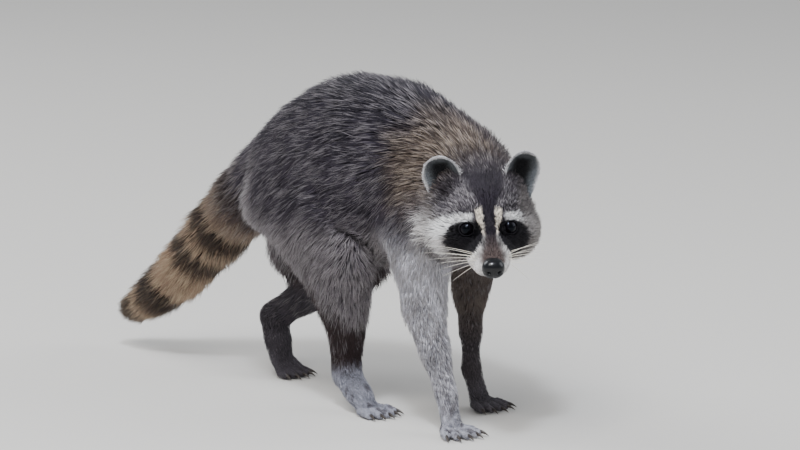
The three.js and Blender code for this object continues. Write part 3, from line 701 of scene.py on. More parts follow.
    # Brows, the far cheek in shade, the muzzle and the bridge of the nose.
    offset = np.stack([aside, forward, up], 1) - MASK_CENTRE
    long, deep = offset @ MASK_LONG, offset @ MASK_DEEP
    long = long / (1 + 0.16 * (left < 0) * (long > 0))
    front = on_face * (forward > 20)
    brow_edge = loop_distance(long, deep, BROW) + 1.2 * rough
    brow = np.clip(on_face * 2, 0, 1) * (forward > -14) * ramp(1.0, -3.0, brow_edge) * ramp(52, 28, long)
    lay(brow, "white", 1, "white", 1, 1.0)
    lay(front * bell(aside - 14.6, 1.2) * ramp(16, 20, up) * ramp(30, 25, up), "stripe", 0.5)
    shaded = on_face * ramp(27, 38, left + 2 * rough) * ramp(34, 22, up)
    lay(shaded, "cheek", 0.75, "cheek", 0.85)
    lay(shaded, "flank", 0.55)
    muzzle = on_face * ramp(54, 64, forward) * ramp(9, 5, up + 0.25 * (forward - 66))
    muzzle = np.maximum(muzzle, on_face * ramp(48, 60, forward) * ramp(-12, -18, up))
    lay(muzzle, "muzzle", 1, "muzzle", 1, 0.9)
    half = np.clip(6.5 + 0.6 * (7 - up), 5.2, 12.5)
    soft = 1.2 + 0.16 * (half - 5)
    bridge = front * ramp(1, -1, (aside - half + 1.5 * rough) / (2 * soft))
    bridge = bridge * ramp(54, 64, forward) * ramp(-12, -7, up)
    lay(bridge, "brown", 1, "brown", 0.9)
    paint(colour, "fawn", 0.3 * bridge * ramp(66, 86, forward))

    # The pale streaks, the dark stripe between them, the mask and the lips.
    cream = front * ramp(0.7, -0.7, loop_distance(aside, up, STREAK) + 0.5 * rough)
    lay(cream, "cream", 1, "cream", 1, 0.95)
    edge = 5.3 + 0.85 * np.maximum(up - 27, 0) + 0.5 * rough
    soft = 0.8 + 0.45 * np.maximum(up - 27, 0)
    stripe = on_face * ramp(1, -1, (aside - edge) / soft) * ramp(5, 10, up) * ramp(-16, 2, forward)
    stripe = stripe * ramp(66, 60, forward)
    paint(colour, "stripe", stripe * mixed(0.75, 1.0, ramp(10, 40, forward)))
    paint(tip, "stripe", 0.9 * stripe)
    mask = front * ramp(0.7, -0.7, loop_distance(long, deep, MASK) + 0.9 * rough)
    beside = front * ramp(3.4, 1.6, np.abs(aside - 9.5)) * ramp(12, 8, up) * ramp(0, 4, up)
    mask = np.maximum(mask, 0.75 * beside)
    lay(mask, "black", 1, "black")
    lay(np.clip(mask + stripe * 0.8 + bridge, 0, 1), pale=0.0)
    lay(on_face * bell(up + 24.5, 1.6) * ramp(60, 74, forward) * ramp(100, 94, forward), "stripe", 0.7)
    return np.clip(colour, 0, 1), np.clip(tip, 0, 1), grizzle


TAIL_LENGTH = sum(tube["length"] for tube in TUBES if tube["kind"] == "tail")
HEAD_KINDS = ("skull", "cheek", "muzzle", "jaw")


def shares(points):
    """
    What each tube has to say at each point, weighted by exp(-distance / 7): the share of each
    part of the body, the coat's lie, droop and reach, and the nearest tube with the place on it.
    """
    count = len(points)
    parts = {}
    total = np.full(count, 1e-9)
    flow, droop, reach = np.zeros((count, 3)), np.zeros(count), np.zeros(count)
    nearest, best = np.zeros(count, int), np.full(count, 1e3)
    place, angle, tail_at = np.zeros(count), np.zeros(count), np.zeros(count)
    walked = 0
    for index, tube in enumerate(TUBES):
        inside = within(tube, points, 0, 30)
        part = parts.setdefault("head" if tube["kind"] in HEAD_KINDS else tube["kind"], np.zeros(count))
        if len(inside):
            at = points[inside].T
            distance = tube_distance(tube, *at, 0)
            share, _, aside, above = along_tube(tube, *at)
            weight = np.exp(-np.maximum(distance, 0) / 7)
            part[inside] += weight
            total[inside] += weight
            flow[inside] += weight[:, None] * tube["flow"]
            droop[inside] += weight * tube["droop"]
            reach[inside] += weight * tube["reach"]
            closer = distance < best[inside]
            some = inside[closer]
            best[some], nearest[some] = distance[closer], index
            place[some], angle[some] = share[closer], np.arctan2(aside, above)[closer]
            if tube["kind"] == "tail":
                tail_at[some] = (walked + share[closer] * tube["length"]) / TAIL_LENGTH
        if tube["kind"] == "tail":
            walked += tube["length"]
    parts = {name: part / total for name, part in parts.items()}
    parts["behind"] = np.clip(parts["trunk"] + parts["hind_right"] + parts["hind_left"], 0, 1)
    parts["tail_at"] = tail_at
    return parts, flow / total[:, None], droop / total, reach / total, nearest, place, angle


# ------------------------------------------------------------------ materials
def node(tree, kind, settings=None, **links):
    """Adds a node with its settings; a link's name is the input, and its value a socket or number."""
    made = tree.nodes.new(kind)
    for name, value in (settings or {}).items():
        setattr(made, name, value)
    for name, value in links.items():
        key = int(name[1:]) if name[0] == "_" and name[1:].isdigit() else name.replace("_", " ")
        if isinstance(value, bpy.types.NodeSocket):
            tree.links.new(value, made.inputs[key])
        else:
            made.inputs[key].default_value = value
    return made


def material(name, roughness, colour=None, bump=None, **settings):
    """
    A material of one Principled shader with values set on its own sockets; colour(tree) and
    bump(tree) give the sockets for its base colour and normal.
    """
    made = bpy.data.materials.new(name)
    made.use_nodes = True
    tree = made.node_tree
    shader = tree.nodes["Principled BSDF"]
    shader.inputs["Roughness"].default_value = roughness
    for key, value in settings.items():
        shader.inputs[key.replace("_", " ")].default_value = value
    for source, socket in ((colour, "Base Color"), (bump, "Normal")):
        if source:
            tree.links.new(source(tree), shader.inputs[socket])
    return made


def opaque(colour):
    """A linear RGBA colour from an sRGB hex value."""
    return (*linear(colour), 1)


def read(tree, name, output="Fac"):
    """A point attribute's socket."""
    return node(tree, "ShaderNodeAttribute", {"attribute_name": name}).outputs[output]


def coordinates(tree):
    """The object's own coordinates, in metres."""
    return node(tree, "ShaderNodeTexCoord").outputs["Object"]


def noise(tree, scale, detail=2.0):
    """Cloudy noise over the object's coordinates."""
    return node(tree, "ShaderNodeTexNoise", Vector=coordinates(tree), Scale=scale,
                Detail=detail).outputs["Fac"]


def mapped(tree, value, low, high, at_low, at_high):
    """A value from low to high carried straight to at_low to at_high, and held beyond."""
    return node(tree, "ShaderNodeMapRange", Value=value, _1=low, _2=high, _3=at_low, _4=at_high).outputs[0]


def reckoned(tree, operation, a, b):
    """One step of arithmetic on two values."""
    return node(tree, "ShaderNodeMath", {"operation": operation}, _0=a, _1=b).outputs[0]


def scaled(tree, colour, level):
    """A colour times a level."""
    return node(tree, "ShaderNodeVectorMath", {"operation": "SCALE"}, _0=colour, Scale=level).outputs[0]


def blended(tree, share, a, b):
    """Colour a where share is 0, b where it is 1."""
    return node(tree, "ShaderNodeMix", {"data_type": "RGBA"}, _0=share, _6=a, _7=b).outputs[2]


def skin_colour(tree):
    """The coat's colours, dimmed unevenly: partly the darker colour low on the hair, partly painted shade in
    the gaps between tufts.
    """
    shade = mapped(tree, noise(tree, 45.0, 3.0), 0.3, 0.7, 0.75, 1.25)
    # Painted shade in the gaps between tufts, over the underfur's own darker tone.
    underfur_and_gap_shade = mapped(tree, noise(tree, 900.0), 0.35, 0.65, 0.5, 0.9)
    return scaled(tree, read(tree, "marking", "Color"), reckoned(tree, "MULTIPLY", underfur_and_gap_shade, shade))


def hair_colour(tree):
    """
    A hair's colour along its length: dark at the root, partly its own darker base and partly
    painted shade deep in the coat, its own colour in the middle, and at the tip either pale or
    dark, by the share of pale tips at its place; each hair a little lighter or darker than the next.
    """
    shade = mapped(tree, noise(tree, 45.0, 3.0), 0.3, 0.7, 0.75, 1.25)
    along, strand = read(tree, "along"), read(tree, "strand")
    # Darker towards the root: partly the hair's own base, partly painted shade deep in the coat.
    level = reckoned(tree, "MULTIPLY", mapped(tree, along, 0.0, 0.7, 0.35, 1.0),
                     mapped(tree, strand, 0.0, 1.0, 0.65, 1.4))
    own = scaled(tree, read(tree, "marking", "Color"), reckoned(tree, "MULTIPLY", level, shade))
    picked = reckoned(tree, "LESS_THAN", strand, read(tree, "grizzle"))
    share = reckoned(tree, "MULTIPLY", picked, mapped(tree, along, 0.5, 0.85, 0.0, 0.9))
    return blended(tree, share, own, read(tree, "tipping", "Color"))


def bumped(tree, height, strength, distance, invert=False):
    """A normal tipped by a height, at most `distance` metres deep."""
    return node(tree, "ShaderNodeBump", {"invert": invert}, Strength=strength, Distance=distance,
                Height=height).outputs[0]


def fur_material():
    """Raccoon guard hair and underfur: dull, with a slight gloss that shows the lie of the hair."""
    return material("raccoon_guard_hair", 0.6, hair_colour, Specular_IOR_Level=0.3)


def skin_material():
    """Short fur and skin under the coat: the coat's colours, darker for underfur and painted shade in the
    gaps, with a fine hair bump.
    """
    return material("raccoon_short_fur_on_skin", 0.75, skin_colour,
                    lambda tree: bumped(tree, noise(tree, 1100.0, 3.0), 0.5, 0.0006), Specular_IOR_Level=0.2)


def cobble(tree):
    """Distance to the middle of the nearest cell, of cells about a millimetre across."""
    return node(tree, "ShaderNodeTexVoronoi", Vector=coordinates(tree), Scale=1100.0).outputs["Distance"]


def nose_material():
    """Bare moist nose skin: nearly black, finely cobbled, with a wet gloss."""
    def colour(tree):
        return scaled(tree, tuple(linear("#060609")), mapped(tree, cobble(tree), 0.0, 0.8, 1.25, 0.6))

    return material("moist_nose_skin", 0.4, colour,
                    lambda tree: bumped(tree, cobble(tree), 0.35, 0.0003, True), Specular_IOR_Level=0.1,
                    Coat_Weight=0.6, Coat_Tint=(0.9, 0.94, 1, 1), Coat_Roughness=0.16)


def eye_material():
    """A very dark iris, its faint violet cast partly a painted bluish reflection, round a black pupil under
    a wet clear cornea.
    """
    def colour(tree):
        bands = node(tree, "ShaderNodeValToRGB", _0=read(tree, "off_axis"))
        # The iris's faint violet cast is partly a painted reflection of the bluish surroundings.
        stops = ((0.0, "#020203"), (0.26, "#030303"), (0.34, "#0a070a"), (0.6, "#0c090d"),
                 (0.72, "#050508"), (1.0, "#08070a"))
        elements = bands.color_ramp.elements
        while len(elements) < len(stops):
            elements.new(0.5)
        for element, (place, ink) in zip(elements, stops):
            element.position = place
            element.color = opaque(ink)
        return bands.outputs[0]

    return material("wet_cornea_over_dark_iris", 0.04, colour, Specular_IOR_Level=0.13,
                    Specular_Tint=(0.7, 0.78, 1, 1))


def claw_material():
    """Dark horn, worn paler to the tip."""
    def colour(tree):
        share = reckoned(tree, "MULTIPLY", read(tree, "along"), noise(tree, 400.0))
        return blended(tree, share, opaque("#231c1b"), opaque("#51463d"))

    return material("dark_horn_claw", 0.38, colour)


def whisker_material():
    """Stiff white whisker with a soft gloss."""
    def colour(tree):
        return blended(tree, read(tree, "along"), opaque("#e6decd"), opaque("#f6f2e9"))

    return material("white_whisker_bristle", 0.4, colour)


FUR, SKIN, EYE = fur_material(), skin_material(), eye_material()


# ------------------------------------------------------------------ pointed things
def spikes(paths, across, rise, sides):
    """
    Closed pointed rods: rings of `sides` points round every path point but the last, which is
    the tip. A ring point is the path's plus across * cos + rise * sin of its angle.
    """
    count, steps = paths.shape[0], paths.shape[1] - 1
    angle = np.pi / 2 + 2 * np.pi * np.arange(sides) / sides
    rings = (paths[:, :-1, None] + across[:, :, None] * np.cos(angle)[:, None]
             + rise[:, :, None] * np.sin(angle)[:, None])
    points = np.concatenate([rings.reshape(count, -1, 3), paths[:, -1:]], 1)
    turn = np.arange(sides)
    after = (turn + 1) % sides
    faces = [np.stack([np.zeros(sides - 2, int), turn[2:], turn[1:-1]], 1)]
    for step in range(steps - 1):
        a, b = turn + step * sides, after + step * sides
        faces += [np.stack([a, b, b + sides], 1), np.stack([a, b + sides, a + sides], 1)]
    last = (steps - 1) * sides
    faces.append(np.stack([turn + last, after + last, np.full(sides, steps * sides)], 1))
    faces = np.concatenate(faces)
    each = points.shape[1]
    faces = faces[None] + np.arange(count)[:, None, None] * each
    return points.reshape(-1, 3), faces.reshape(-1, 3), each


def along_spikes(levels, sides, count):
    """The place along a spike, 0 to 1 at its tip, for all the points of `count` spikes."""
    return np.tile(np.append(np.repeat(levels, sides), 1.0), count)


def unwrapped(piece, each, root_uv, patch):
    """The OFBake map: each tuft is a small patch at its root's place on the skin's unwrap."""
    corners = np.empty(len(piece.data.loops), np.int32)
    piece.data.loops.foreach_get("vertex_index", corners)
    uv = root_uv[corners // each] + patch[corners % each]
    layer = piece.data.uv_layers.new(name="OFBake")
    layer.data.foreach_set("uv", np.clip(uv, 0, 1).astype(np.float32).ravel())


PATCH = 0.003
TUFT_SIDES, TUFT_STEPS, TUFT_PROFILE = 3, 2, array(0.85, 1.0)


def tuft_patch():
    """A tuft's patch: across it by the ring's angle, along it by the step, PATCH each way."""
    angle = np.pi / 2 + 2 * np.pi * np.arange(TUFT_SIDES) / TUFT_SIDES
    rows = [(np.cos(a) / 2, step / TUFT_STEPS - 0.5) for step in range(TUFT_STEPS) for a in angle]
    return np.array(rows + [(0, 0.5)]) * PATCH


def hashed(cells, seed):
    """A number from 0 to 1 for each row of three whole numbers: the fraction of a large sine."""
    return np.modf(np.abs(np.sin(cells @ array(12.9898, 39.346, 73.156) + seed) * 43758.5453))[0]


def locked(tips, normals, size, pull):
    """
    Tips drawn towards the middle of their lock, and each one's lock number: the nearest of a
    jittered lattice of seeds, one in each cell of the lock's size.
    """
    cell = np.floor(tips / size[:, None])
    best, target, lock = np.full(len(tips), 1e9), tips.copy(), np.zeros(len(tips))
    for step in np.ndindex(3, 3, 3):
        at = cell + np.array(step) - 1
        jitter = np.stack([hashed(at, seed) for seed in (1, 2, 3)], 1) - 0.5
        off = (at + 0.5 + 0.8 * jitter) * size[:, None] - tips
        distance = (off ** 2).sum(1)
        closer = distance < best
        best[closer] = distance[closer]
        target[closer] = (tips + flattened(off, normals))[closer]
        lock[closer] = hashed(at, 4)[closer]
    return tips + (target - tips) * pull, lock


def clear_of_eyes(tips):
    """Tips in front of an eye moved out to a little beyond its lids."""
    for side in (-1, 1):
        _, level, vertical = eye_axes(side)
        across, up, out, opening = eye_place(tips, side)
        over = (opening < 1.3) & (out > 0) & (out < 22)
        grow = np.where(over, 1.3 / np.maximum(opening, 0.2) - 1, 0)
        tips = tips + (across * grow)[:, None] * level + (up * grow)[:, None] * vertical
    return tips


# A lock's size on face, cheek, limb and body, the coat depths between them, and how far its
# tips draw together.
LOCK_SIZES, LOCK_DEPTHS, LOCK_PULL = (2.0, 3.2, 5.0, 7.0), (2, 5, 11), 0.32
FACE_TUFT_WIDTH, FLANK_TOP = 0.78, 254


def tips_of(roots, normals, lies, length, depth, outer):
    """
    Where tufts from roots on the skin end, and each one's lock number: along the lie with a
    little spread and two slow swirls, towards the middle of the lock, and out to a little under
    or over the coat's outer surface.
    """
    count = len(roots)
    spread = random.normal(size=(count, 3)) * 0.15
    swirl = (0.28 * ripple(roots, 38, 11) + 0.16 * ripple(roots, 13, 12)) * ramp(0, 10, depth)
    way = lies + spread + np.cross(normals, lies) * swirl[:, None]
    way = unit(flattened(way, normals))
    length = length * random.uniform(0.75, 1.15, count)
    tips = roots + way * length[:, None] + normals * (0.55 * depth)[:, None]
    size = np.select([depth < limit for limit in LOCK_DEPTHS], LOCK_SIZES[:-1], LOCK_SIZES[-1])
    tips, lock = locked(tips, normals, size, LOCK_PULL)
    height = -0.16 + 0.5 * (0.5 * lock + 0.5 * random.random(count))
    if outer:
        slope = body_slope(tips, 1)
        off = body_distance(tips, 1) + height * depth
        off = np.clip(off, -1.2 * depth, 2.5 * depth + 8)
        tips = tips - slope * (off / np.maximum((slope ** 2).sum(1), 0.3))[:, None]
        tips = clear_of_eyes(tips)
        tips[:, 2] = np.maximum(tips[:, 2], 0.4)
    else:
        tips = tips + normals * ((0.3 - height) * depth)[:, None]
    return tips, lock


def strand_of(roots, lock):
    """Each tuft's own shade: partly its own, partly its lock's and its neighbourhood's."""
    area = hashed(np.floor((roots + 2 * ripple(roots, 20, 21)[:, None]) / 13), 5)
    value = 0.55 * random.random(len(roots)) + 0.28 * lock + 0.17 * area
    return np.clip(0.5 + 1.45 * (value - 0.5), 0, 1)


def tufted(name, roots, tips, normals, depth, width, looks, root_uv):
    """
    Closed three-sided tufts from roots to tips: their height goes as 1 - (1 - t)^1.9 and their
    run along the skin as t^1.25, so that each rises first and then lies down.
    """
    count = len(roots)
    base = roots - normals * np.minimum(0.8, 0.15 * depth)[:, None]
    reachout = tips - base
    height = (reachout * normals).sum(1)
    flat = reachout - normals * height[:, None]
    t = np.linspace(0, 1, TUFT_STEPS + 1)
    lift = np.maximum(height, 0.3 * depth)[:, None] * (1 - (1 - t) ** 1.9)
    paths = base[:, None] + flat[:, None] * (t ** 1.25)[None, :, None] + lift[:, :, None] * normals[:, None]
    paths[:, -1] = tips
    line = unit(paths[:, 1:] - paths[:, :-1])
    side = unit(np.cross(line, normals[:, None]))
    top = np.cross(side, line)
    half = width[:, None] * TUFT_PROFILE * random.uniform(0.36, 0.62, (count, 1))
    points, faces, each = spikes(paths, side * half[:, :, None], top * (0.55 * half)[:, :, None],
                                 TUFT_SIDES)
    piece = mesh_object(name, points, faces)
    looks = {key: np.repeat(values, each, 0) for key, values in looks.items()}
    dress(piece, FUR, **looks, along=along_spikes(t[:-1], TUFT_SIDES, count))
    unwrapped(piece, each, root_uv, tuft_patch())


def scattered(points, triangles, weight):
    """Roots spread over a surface, `weight` to a square millimetre: triangles and places in them."""
    a, b, c = [points[triangles[:, i]] for i in range(3)]
    area = np.linalg.norm(np.cross(b - a, c - a), axis=1) / 2 * weight[triangles].mean(1)
    ends = np.cumsum(area)
    count = int(ends[-1])
    marks = (np.arange(count) + random.random(count)) * ends[-1] / count
    chosen = np.minimum(np.searchsorted(ends, marks), len(ends) - 1)
    u, v = random.random((2, count))
    fold = u + v > 1
    u, v = np.where(fold, 1 - u, u), np.where(fold, 1 - v, v)
    return triangles[chosen], np.stack([1 - u - v, u, v], 1)


def spread_over(values, corner, share):
    """Vertex values at roots: the mean of their triangles' corners, by the place in them."""
    picked = values[corner]
    return (picked * (share[:, :, None] if values.ndim == 2 else share)).sum(1)


def rooted(points, triangles, normals, weight):
    """Roots and their normals, with the corners and shares that carry other values to them."""
    corner, share = scattered(points, triangles, weight)
    return spread_over(points, corner, share), unit(spread_over(normals, corner, share)), corner, share


# ------------------------------------------------------------------ skin and coat
points, triangles = skin_surface()
normals = normals_of(points, triangles)
parts, flow, droop, reach, nearest, place, angle = shares(points)
colour, tip, grizzle = markings(points, parts)
depth = np.maximum(-body_distance(points, 1), 0.3)

FLESH = ["head", "neck", "trunk", "tail_base", "tail_middle", "tail_tip"]
for side in ("right", "left"):
    FLESH += [f"ear_{side}", f"upper_arm_{side}", f"forearm_{side}", f"forepaw_{side}",
              f"thigh_{side}", f"shank_{side}", f"hind_foot_{side}"]
skin = mesh_object("skin", points, triangles, FLESH)
dress(skin, SKIN, marking=colour, tipping=tip, grizzle=grizzle)

lie = flow - array(0, 0, 1) * droop[:, None]
bare = np.zeros(len(points), bool)
for side in (-1, 1):
    _, _, out, opening = eye_place(points, side)
    near = ramp(3.4, 1.3, opening) * (out > -6) * (out < 22)
    away = points - on_head(EYE_CENTRE * (side, 1, 1))
    lie = lie + 1.6 * near[:, None] * unit(flattened(away, normals))
    reach = reach * (1 - 0.6 * near)
    bare |= round_eye(opening, out, 1.22)
lie = unit(flattened(lie, normals))
head_at = in_head(points)
bare |= (head_at[:, 1] > 90) & (head_at[:, 2] > -22)
bare |= points[:, 2] < 1.5


COAT_DEPTHS = (0.5, 1.5, 3, 6, 10, 16, 25)


def tuft_width(depth):
    """A tuft's width from the coat's depth: hairs stand in finer tufts on short coat."""
    return np.interp(depth, COAT_DEPTHS, [0.5, 0.55, 0.58, 0.75, 0.95, 1.15, 1.3])


density = np.interp(depth, COAT_DEPTHS, [0.6, 0.8, 1.45, 0.95, 0.55, 0.41, 0.4])
density *= mixed(1, mixed(0.5, 1.0, parts["head"]), ramp(8, 4, depth))
density *= 1 + 1.5 * parts["tail"] * ramp(0.05, 0.3, parts["tail_at"])
density *= 1 + 0.35 * parts["head"] * ramp(12, 6, depth)
ear_root = np.linalg.norm(np.abs(head_at * (1, 0, 0)) + head_at * (0, 1, 1) - (33, 3, 25), axis=1)
density *= 1 - 0.85 * bell(ear_root, 11)
density *= mixed(1, 0.8, parts["hind_left"])
density *= 1 + 0.6 * ramp(17, 20, depth) * (1 - np.clip(2 * parts["tail"], 0, 1))
density[bare] = 0
roots, root_normals, corner, share = rooted(points, triangles, normals, density)
root_lie = unit(flattened(spread_over(lie, corner, share), root_normals))
root_depth = spread_over(depth, corner, share)
length = root_depth * spread_over(reach, corner, share)
tips, lock = tips_of(roots, root_normals, root_lie, length, root_depth, True)
seen = roots + (tips - roots) * 0.7 + random.normal(size=roots.shape) * (0.09 * length)[:, None]
root_colour, root_tip, root_grizzle = markings(seen, shares(seen)[0])
root_nearest, root_place, root_angle = shares(roots)[4:]
strand = strand_of(roots, lock)
PIECES = {
    "coat_back": ("back", ("trunk",), lambda at: at[:, 2] >= FLANK_TOP),
    "coat_flanks": ("flank", ("trunk",), lambda at: at[:, 2] < FLANK_TOP),
    "coat_neck": ("flank", ("neck",), None),
    "coat_crown_and_cheeks": ("face", ("skull", "cheek"), None),
    "coat_muzzle": ("face", ("muzzle", "jaw"), None),
    "coat_tail": ("tail", ("tail",), None),
    "coat_foreleg_right": ("paw", ("fore_right",), None),
    "coat_foreleg_left": ("paw", ("fore_left",), None),
    "coat_hind_leg_right": ("flank", ("hind_right",), None),
    "coat_hind_leg_left": ("flank", ("hind_left",), None),
}


def unwrap(nearest, place, angle, kinds):
    """Each tube's length laid side by side, and the angle round it upwards."""
    chosen = [i for i, tube in enumerate(TUBES) if tube["kind"] in kinds]
    lengths = np.array([TUBES[i]["length"] for i in chosen])
    starts = np.zeros(len(TUBES))
    spans = np.zeros(len(TUBES))
    starts[chosen] = (np.cumsum(lengths) - lengths) / lengths.sum()
    spans[chosen] = lengths / lengths.sum()
    return np.stack([starts[nearest] + place * spans[nearest], angle / (2 * np.pi) + 0.5], 1)


for name, (slot, kinds, where) in PIECES.items():
    mine = np.isin(root_nearest, [i for i, tube in enumerate(TUBES) if tube["kind"] in kinds])
    if where is not None:
        mine &= where(roots)
    uv = unwrap(root_nearest[mine], root_place[mine], root_angle[mine], kinds)
    looks = dict(marking=root_colour[mine], tipping=root_tip[mine], grizzle=root_grizzle[mine],
                 strand=strand[mine])
    tufted(name, roots[mine], tips[mine], root_normals[mine], root_depth[mine],
           tuft_width(root_depth[mine]) * (FACE_TUFT_WIDTH if slot == "face" else 1), looks, uv)


# ------------------------------------------------------------------ eyes, nose, claws, whiskers
def belts(grid):
    """The four corners of each quad between a closed ring of a grid and the next ring."""
    return grid[:-1], np.roll(grid[:-1], -1, 1), np.roll(grid[1:], -1, 1), grid[1:]


def sphere_grid(rows, columns, radius_at):
    """A closed surface: radius_at(polar, round) along each direction from its middle, poles shared."""
    polar = np.linspace(0, np.pi, rows + 1)[1:-1, None]
    turn = np.arange(columns)[None] * 2 * np.pi / columns
    ways = np.stack([np.sin(polar) * np.cos(turn), np.sin(polar) * np.sin(turn),
                     np.cos(polar) + 0 * turn], -1).reshape(-1, 3)
    ways = np.vstack([ways, [(0, 0, 1), (0, 0, -1)]])
    grid = np.arange((rows - 1) * columns).reshape(rows - 1, columns)
    a, b, c, d = belts(grid)
    faces = [np.stack([a, d, c], -1).reshape(-1, 3), np.stack([a, c, b], -1).reshape(-1, 3)]
    top, bottom = len(ways) - 2, len(ways) - 1
    first, last = grid[0], grid[-1]
    faces.append(np.stack([np.full(columns, top), first, np.roll(first, -1)], 1))
    faces.append(np.stack([np.full(columns, bottom), np.roll(last, -1), last], 1))
    return radius_at(ways), np.concatenate(faces), ways


def eyeball(side):
    """A ball with its cornea bulging by 0.25 within 35 degrees of the gaze."""
    gaze, level, _ = eye_axes(side)

    def shape(ways):
        bulge = 0.25 * ramp(0.62, 0.0, np.arccos(np.clip(ways[:, 2], -1, 1)))
        local = ways * (EYE_RADIUS - 0.1 + bulge)[:, None]
        frame_rows = np.array([level, np.cross(gaze, level), gaze])
        return on_head(EYE_CENTRE * (side, 1, 1)) + local @ frame_rows

    points, faces, ways = sphere_grid(32, 48, shape)
    name = "left" if side > 0 else "right"
    piece = mesh_object(f"eyeball_{name}", points, faces, [f"eye_{name}"])
    dress(piece, EYE, off_axis=np.arccos(np.clip(ways[:, 2], -1, 1)) / (np.pi / 2))


for side in (-1, 1):
    eyeball(side)


def nose_pad():
    """
    A rounded box 22 wide, 20 tall and 19 deep, with two nostrils pressed in at the front that
    sweep outwards and a groove down its middle.
    """
    def shape(ways):
        left, up, forward = ways.T
        power = 2.25
        size = (np.abs(left / 11.0) ** power + np.abs(up / 9.9) ** power
                + np.abs(forward / 9.5) ** power) ** (-1 / power)
        spots = ways * size[:, None]
        left, up, forward = spots.T
        aside = np.abs(left)
        nostril = bell(aside - 4.9, 1.7) * bell(up + 1.6 - 0.25 * (aside - 4.9), 1.6)
        slit = 0.55 * bell(up + 2.6, 1.1) * ramp(5, 8, aside)
        groove = 0.35 * bell(left, 0.8) * ramp(4, -2, up)
        forward = forward - ramp(0, 5, forward) * (3.2 * nostril + 1.3 * slit + groove * 2)
        return on_head(np.stack([left - 0.8, forward + 92.5, up - 12], 1))

    points, faces, _ = sphere_grid(56, 72, shape)
    dress(mesh_object("nose_pad", points, faces, ["nose"]), nose_material())


nose_pad()


def claws():
    """Curved horn claws: each leaves its digit level, and its height falls with the square."""
    paths, across, rise, replaced = [], [], [], []
    numbers = {}
    for kind, tip_at, way in DIGIT_TIPS:
        numbers[kind] = numbers.get(kind, 0) + 1
        steps = np.linspace(0, 1, 6)
        path = tip_at + way * (0.5 + 11 * steps)[:, None]
        path[:, 2] = 4.9 + 0.8 * steps - 4.6 * steps ** 2
        side = np.cross(way, UPRIGHT)
        half = 1.5 * (1 - steps[:-1] ** 1.5) + 0.15
        paths.append(path)
        across.append(side * half[:, None])
        rise.append(UPRIGHT * (half * 1.25)[:, None])
        replaced.append(f"claw_{kind}_{numbers[kind]}")
    points, faces, _ = spikes(np.array(paths), np.array(across), np.array(rise), 8)
    dress(mesh_object("claws", points, faces, replaced), claw_material(),
          along=along_spikes(np.linspace(0, 0.8, 5), 8, len(paths)))


claws()


def whiskers():
    """
    Tapering bristles in four rows on each whisker pad: they sweep out and back, lower rows also
    down, and bend down with the square of their length.
    """
    paths = []
    for side in (-1, 1):
        for row, (lift, length) in enumerate(((0.12, 58), (-0.12, 62), (-0.42, 54), (-0.85, 42))):
            for column in range((3, 3, 2, 1)[row]):
                root = array(side * (14.5 + 1.2 * row + 0.6 * column), 79 - 4.6 * column, -6.5 - 3.0 * row)
                way = unit(array(side, -0.42 - 0.1 * column + 0.06 * random.normal(),
                                 lift + 0.07 * random.normal()))
                reach = length * (0.68 + 0.13 * column) * random.uniform(0.9, 1.1)
                steps = np.linspace(0, 1, 8)
                path = root + way * (reach * steps)[:, None]
                path[:, 1] -= 0.10 * reach * steps ** 2
                path[:, 2] -= 0.16 * reach * steps ** 2
                paths.append(on_head(path))
    paths = np.array(paths)
    line = unit(np.diff(paths, axis=1))
    side = unit(np.cross(line, UPRIGHT))
    half = (0.2 * (1 - np.linspace(0, 1, 8)[:-1]) + 0.05)[None, :, None]
    points, faces, _ = spikes(paths, side * half, np.cross(side, line) * half, 5)
    dress(mesh_object("whiskers", points, faces), whisker_material(),
          along=along_spikes(np.linspace(0, 6 / 7, 7), 5, len(paths)))


whiskers()


# ------------------------------------------------------------------ ears
EAR_BASE, EAR_TOP = array(34.5, -13, 13), array(43.5, -17, 59)
EAR_HALF_WIDTH, EAR_CUP = 19.4, 11


